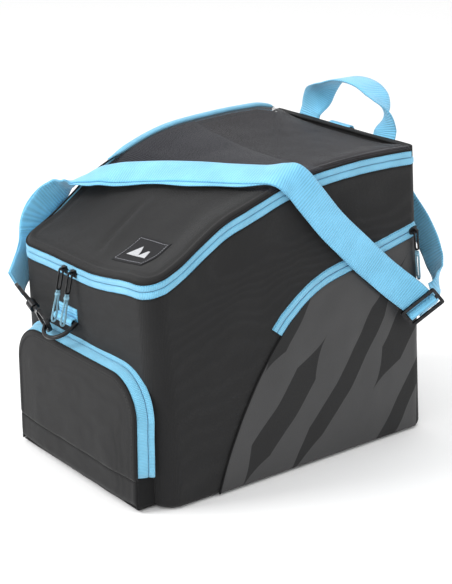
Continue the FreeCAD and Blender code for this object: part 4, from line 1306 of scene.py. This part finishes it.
def make_handle():
    loop = web_strip("handle_loop_web", handle_frames(), HANDLE_WIDTH, 0.0024, WEB)
    place_in_frame(loop, "grab_handle", "webbing", "grab_handle")
    for sign, name in ((-1, "left"), (1, "right")):
        middle = sign * HANDLE_X
        across, face = Vector((1, 0, 0)), Vector((0, 1, 0.045)).normalized()
        frames = [(Vector((middle, rear_y(z) + 0.0019, z)), across, face) for z in steps(0.3545, 0.3075, 16)]
        end = web_strip(f"handle_{name}_sewn_end", frames, HANDLE_WIDTH, 0.0022, WEB)
        place_in_frame(end, "bag", "webbing", "handle_ends")
        x0, x1 = middle - 0.0155, middle + 0.0155
        z0, z1 = 0.3105, 0.3500
        corners = [(x0, z0), (x1, z0), (x1, z1), (x0, z1), (x0, z0), (x1, z1), (x0, z1), (x1, z0)]
        path = []
        for (xa, za), (xb, zb) in zip(corners, corners[1:]):
            for t in steps(0, 1, 14):
                z = za + (zb - za) * t
                path.append((Vector((xa + (xb - xa) * t, rear_y(z) + 0.0031, z)), Vector((0, 1, 0))))
        stitches(f"handle_{name}_box_thread", path, BLUE_THREAD, "bag", pitch=0.0034, length=0.0023)


def make_ring_tab(name, bar, out, tail_dir):
    """Webbing rolled round the ring's bar, its tail sewn to the wall."""
    r = 0.0044 * math.sqrt(0.5) + 0.0014
    width = Vector((1, 0, 0))
    x = out.normalized()
    z = -square_to(x, tail_dir)
    path = [bar - x * (r + 0.0001) - z * d for d in steps(0.0158, 0.001, 8)]
    for angle in steps(math.pi, math.pi * (1 - 2 * 0.93), 25):
        path.append(bar + x * r * math.cos(angle) + z * r * math.sin(angle))
    frames = [(p, width, tangent_at(path, i).cross(width).normalized()) for i, p in enumerate(path)]
    tab = web_strip(name + "_web", frames, 0.038, 0.0018, WEB)
    place_in_frame(tab, "bag", "webbing", name)
    path = [(bar - x * (r - 0.0011) - z * 0.0085 + width * t, x) for t in steps(-0.0165, 0.0165, 30)]
    stitches(name + "_thread", path, BLUE_THREAD, "bag", pitch=0.0032, length=0.0022)


def make_tabs():
    make_ring_tab("front_ring_tab", Vector((-0.031, -0.21393, 0.18475)), Vector((0, -1, FRONT_LEAN)),
                  Vector((0, -FRONT_LEAN, 1)))
    make_ring_tab("rear_ring_tab", Vector((-0.012, 0.18959, 0.35625)), Vector((0, 1, REAR_LEAN)),
                  Vector((0, REAR_LEAN, -1)))


CORD_R = 0.00125
CORD_OUTLINE = ((0.0, 0.0017), (0.10, 0.0017), (0.30, 0.0020), (0.60, 0.0024), (0.85, 0.0025), (0.96, 0.0016))
TIE_TOP = 0.0028
TIE_FOOT = 0.0064


def make_pull_cord(name, body, node_name, top, foot, spread):
    """A doubled cord through the pull's eye, tied close under it and open below."""
    length = (foot - top).length
    down = (foot - top).normalized()
    side = spread.normalized()
    swing = down.cross(side).normalized()
    strands = [top + down * (s * length) - side * w + swing * 0.0004 * math.sin(s * 6)
               for s, w in CORD_OUTLINE]
    strands.append(top + down * length * 0.985)
    strands += [top + down * (s * length) + side * w - swing * 0.0004 * math.sin(s * 6)
                for s, w in CORD_OUTLINE[::-1]]
    line = through(strands, 4)
    cord, data = nurbs(name, line)
    data.bevel_depth = CORD_R
    data.bevel_resolution = 3
    data.use_fill_caps = True
    data.materials.append(CORD)
    place_in_frame(cord, body, "cord", node_name)
    band = []
    for d in steps(TIE_TOP, TIE_FOOT, 5):
        grow = 1.0 + 0.10 * math.sin(math.pi * (d - TIE_TOP) / (TIE_FOOT - TIE_TOP))
        band.append([top + down * d + (side * 0.0034 * math.cos(turn) + swing * 0.0019 * math.sin(turn)) * grow
                     for turn in turns(12)])
    tube_mesh(name + "_tie", band, CORD, body)


def make_pull_cords():
    for prefix in ("lid_left", "lid_right", "front_pocket", "side_pocket"):
        low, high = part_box(prefix + "_pull_cord")
        centre = (low + high) / 2
        pull_low, pull_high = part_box(prefix + "_pull")
        pull = (pull_low + pull_high) / 2
        down = (centre - pull).normalized()
        reach = (high.z - low.z) / 2 / abs(down.z)
        top = centre - down * (reach - 0.0006)
        foot = centre + down * reach
        size = high - low
        if prefix.startswith("lid"):
            spread = Vector((0, -0.975, 0.22))
        elif prefix == "front_pocket":
            spread = Vector((0.0, 1.0, 0.0)) if size.y > size.x else Vector((1.0, 0.0, 0.0))
        else:
            spread = Vector((1.0, 0.0, 0.04))
        spread = spread - down * spread.dot(down)
        make_pull_cord(prefix + "_cord_loop", prefix + "_pull", prefix + "_pull_cord", top, foot, spread)


# ---- the frame's own hard parts --------------------------------------------------------------
def dress_frame():
    for name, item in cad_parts.items():
        item.data.materials.clear()
        item.data.materials.append(SHADED_SIDE_CLOTH if name.endswith(("panel", "board", "lining")) else HARDWARE)
        for polygon in item.data.polygons:
            polygon.material_index = 0
    for name in ("front_ring", "rear_ring", "front_hook", "rear_hook", "tri_glide"):
        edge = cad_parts[name].modifiers.new("edge", "BEVEL")
        edge.width = 0.0005
        edge.segments = 2
        edge.limit_method = "ANGLE"
        edge.angle_limit = math.radians(35)


# ---- camera and light -----------------------------------------------------------------------
def make_camera():
    azimuth = math.radians(52.3)
    elevation = math.radians(19.5)
    distance = 1.965
    back = Vector((math.sin(azimuth) * math.cos(elevation), -math.cos(azimuth) * math.cos(elevation),
                   math.sin(elevation)))
    right = Vector((math.cos(azimuth), math.sin(azimuth), 0))
    up = back.cross(right)
    target = Vector((0, 0, 0.150)) - right * 0.0024 + up * 0.0283
    data = bpy.data.cameras.new("camera")
    data.sensor_width = 36.0
    data.sensor_fit = "HORIZONTAL"
    data.lens = 127.4
    camera = bpy.data.objects.new("camera", data)
    bpy.context.scene.collection.objects.link(camera)
    basis = Matrix((right, up, back)).transposed().to_4x4()
    camera.matrix_world = Matrix.Translation(target + back * distance) @ basis
    bpy.context.scene.camera = camera


def area_light(name, at, aim, size, power):
    data = bpy.data.lights.new(name, "AREA")
    data.shape = "SQUARE"
    data.size = size
    data.energy = power
    light = bpy.data.objects.new(name, data)
    bpy.context.scene.collection.objects.link(light)
    light.location = at
    light.rotation_euler = (Vector(aim) - Vector(at)).to_track_quat("-Z", "Y").to_euler()


def make_stage():
    world = bpy.data.worlds.new("studio")
    world.use_nodes = True
    background = world.node_tree.nodes["Background"]
    background.inputs["Color"].default_value = (1.0, 1.0, 1.0, 1)
    background.inputs["Strength"].default_value = 1.0
    bpy.context.scene.world = world
    area_light("key", (-0.9, -1.8, 1.7), (0, 0, 0.15), 1.0, 40)
    area_light("fill", (1.9, -0.9, 1.1), (0, 0, 0.2), 1.4, 5)
    area_light("top", (0.1, 0.2, 2.2), (0, 0, 0.2), 1.6, 10)
    material, _tree, shader = new_material("floor_paper")
    shader.inputs["Base Color"].default_value = (0.92, 0.92, 0.92, 1)
    shader.inputs["Roughness"].default_value = 0.9
    size = 6.0
    floor = add_mesh("floor", [(-size, -size, -0.0005), (size, -size, -0.0005), (size, size, -0.0005),
                               (-size, size, -0.0005)], [(0, 1, 2, 3)], material)
    bpy.context.scene.view_settings.view_transform = "Standard"
    bpy.context.scene.view_settings.look = "None"


make_shell()
make_inside()
make_lid()
make_lid_zip()
make_left_edge()
make_rear_strip()
make_label()
make_front_pocket()
make_side_pocket()
make_strap()
make_adjuster_web()
make_handle()
make_tabs()
make_pull_cords()
dress_frame()
make_camera()
make_stage()
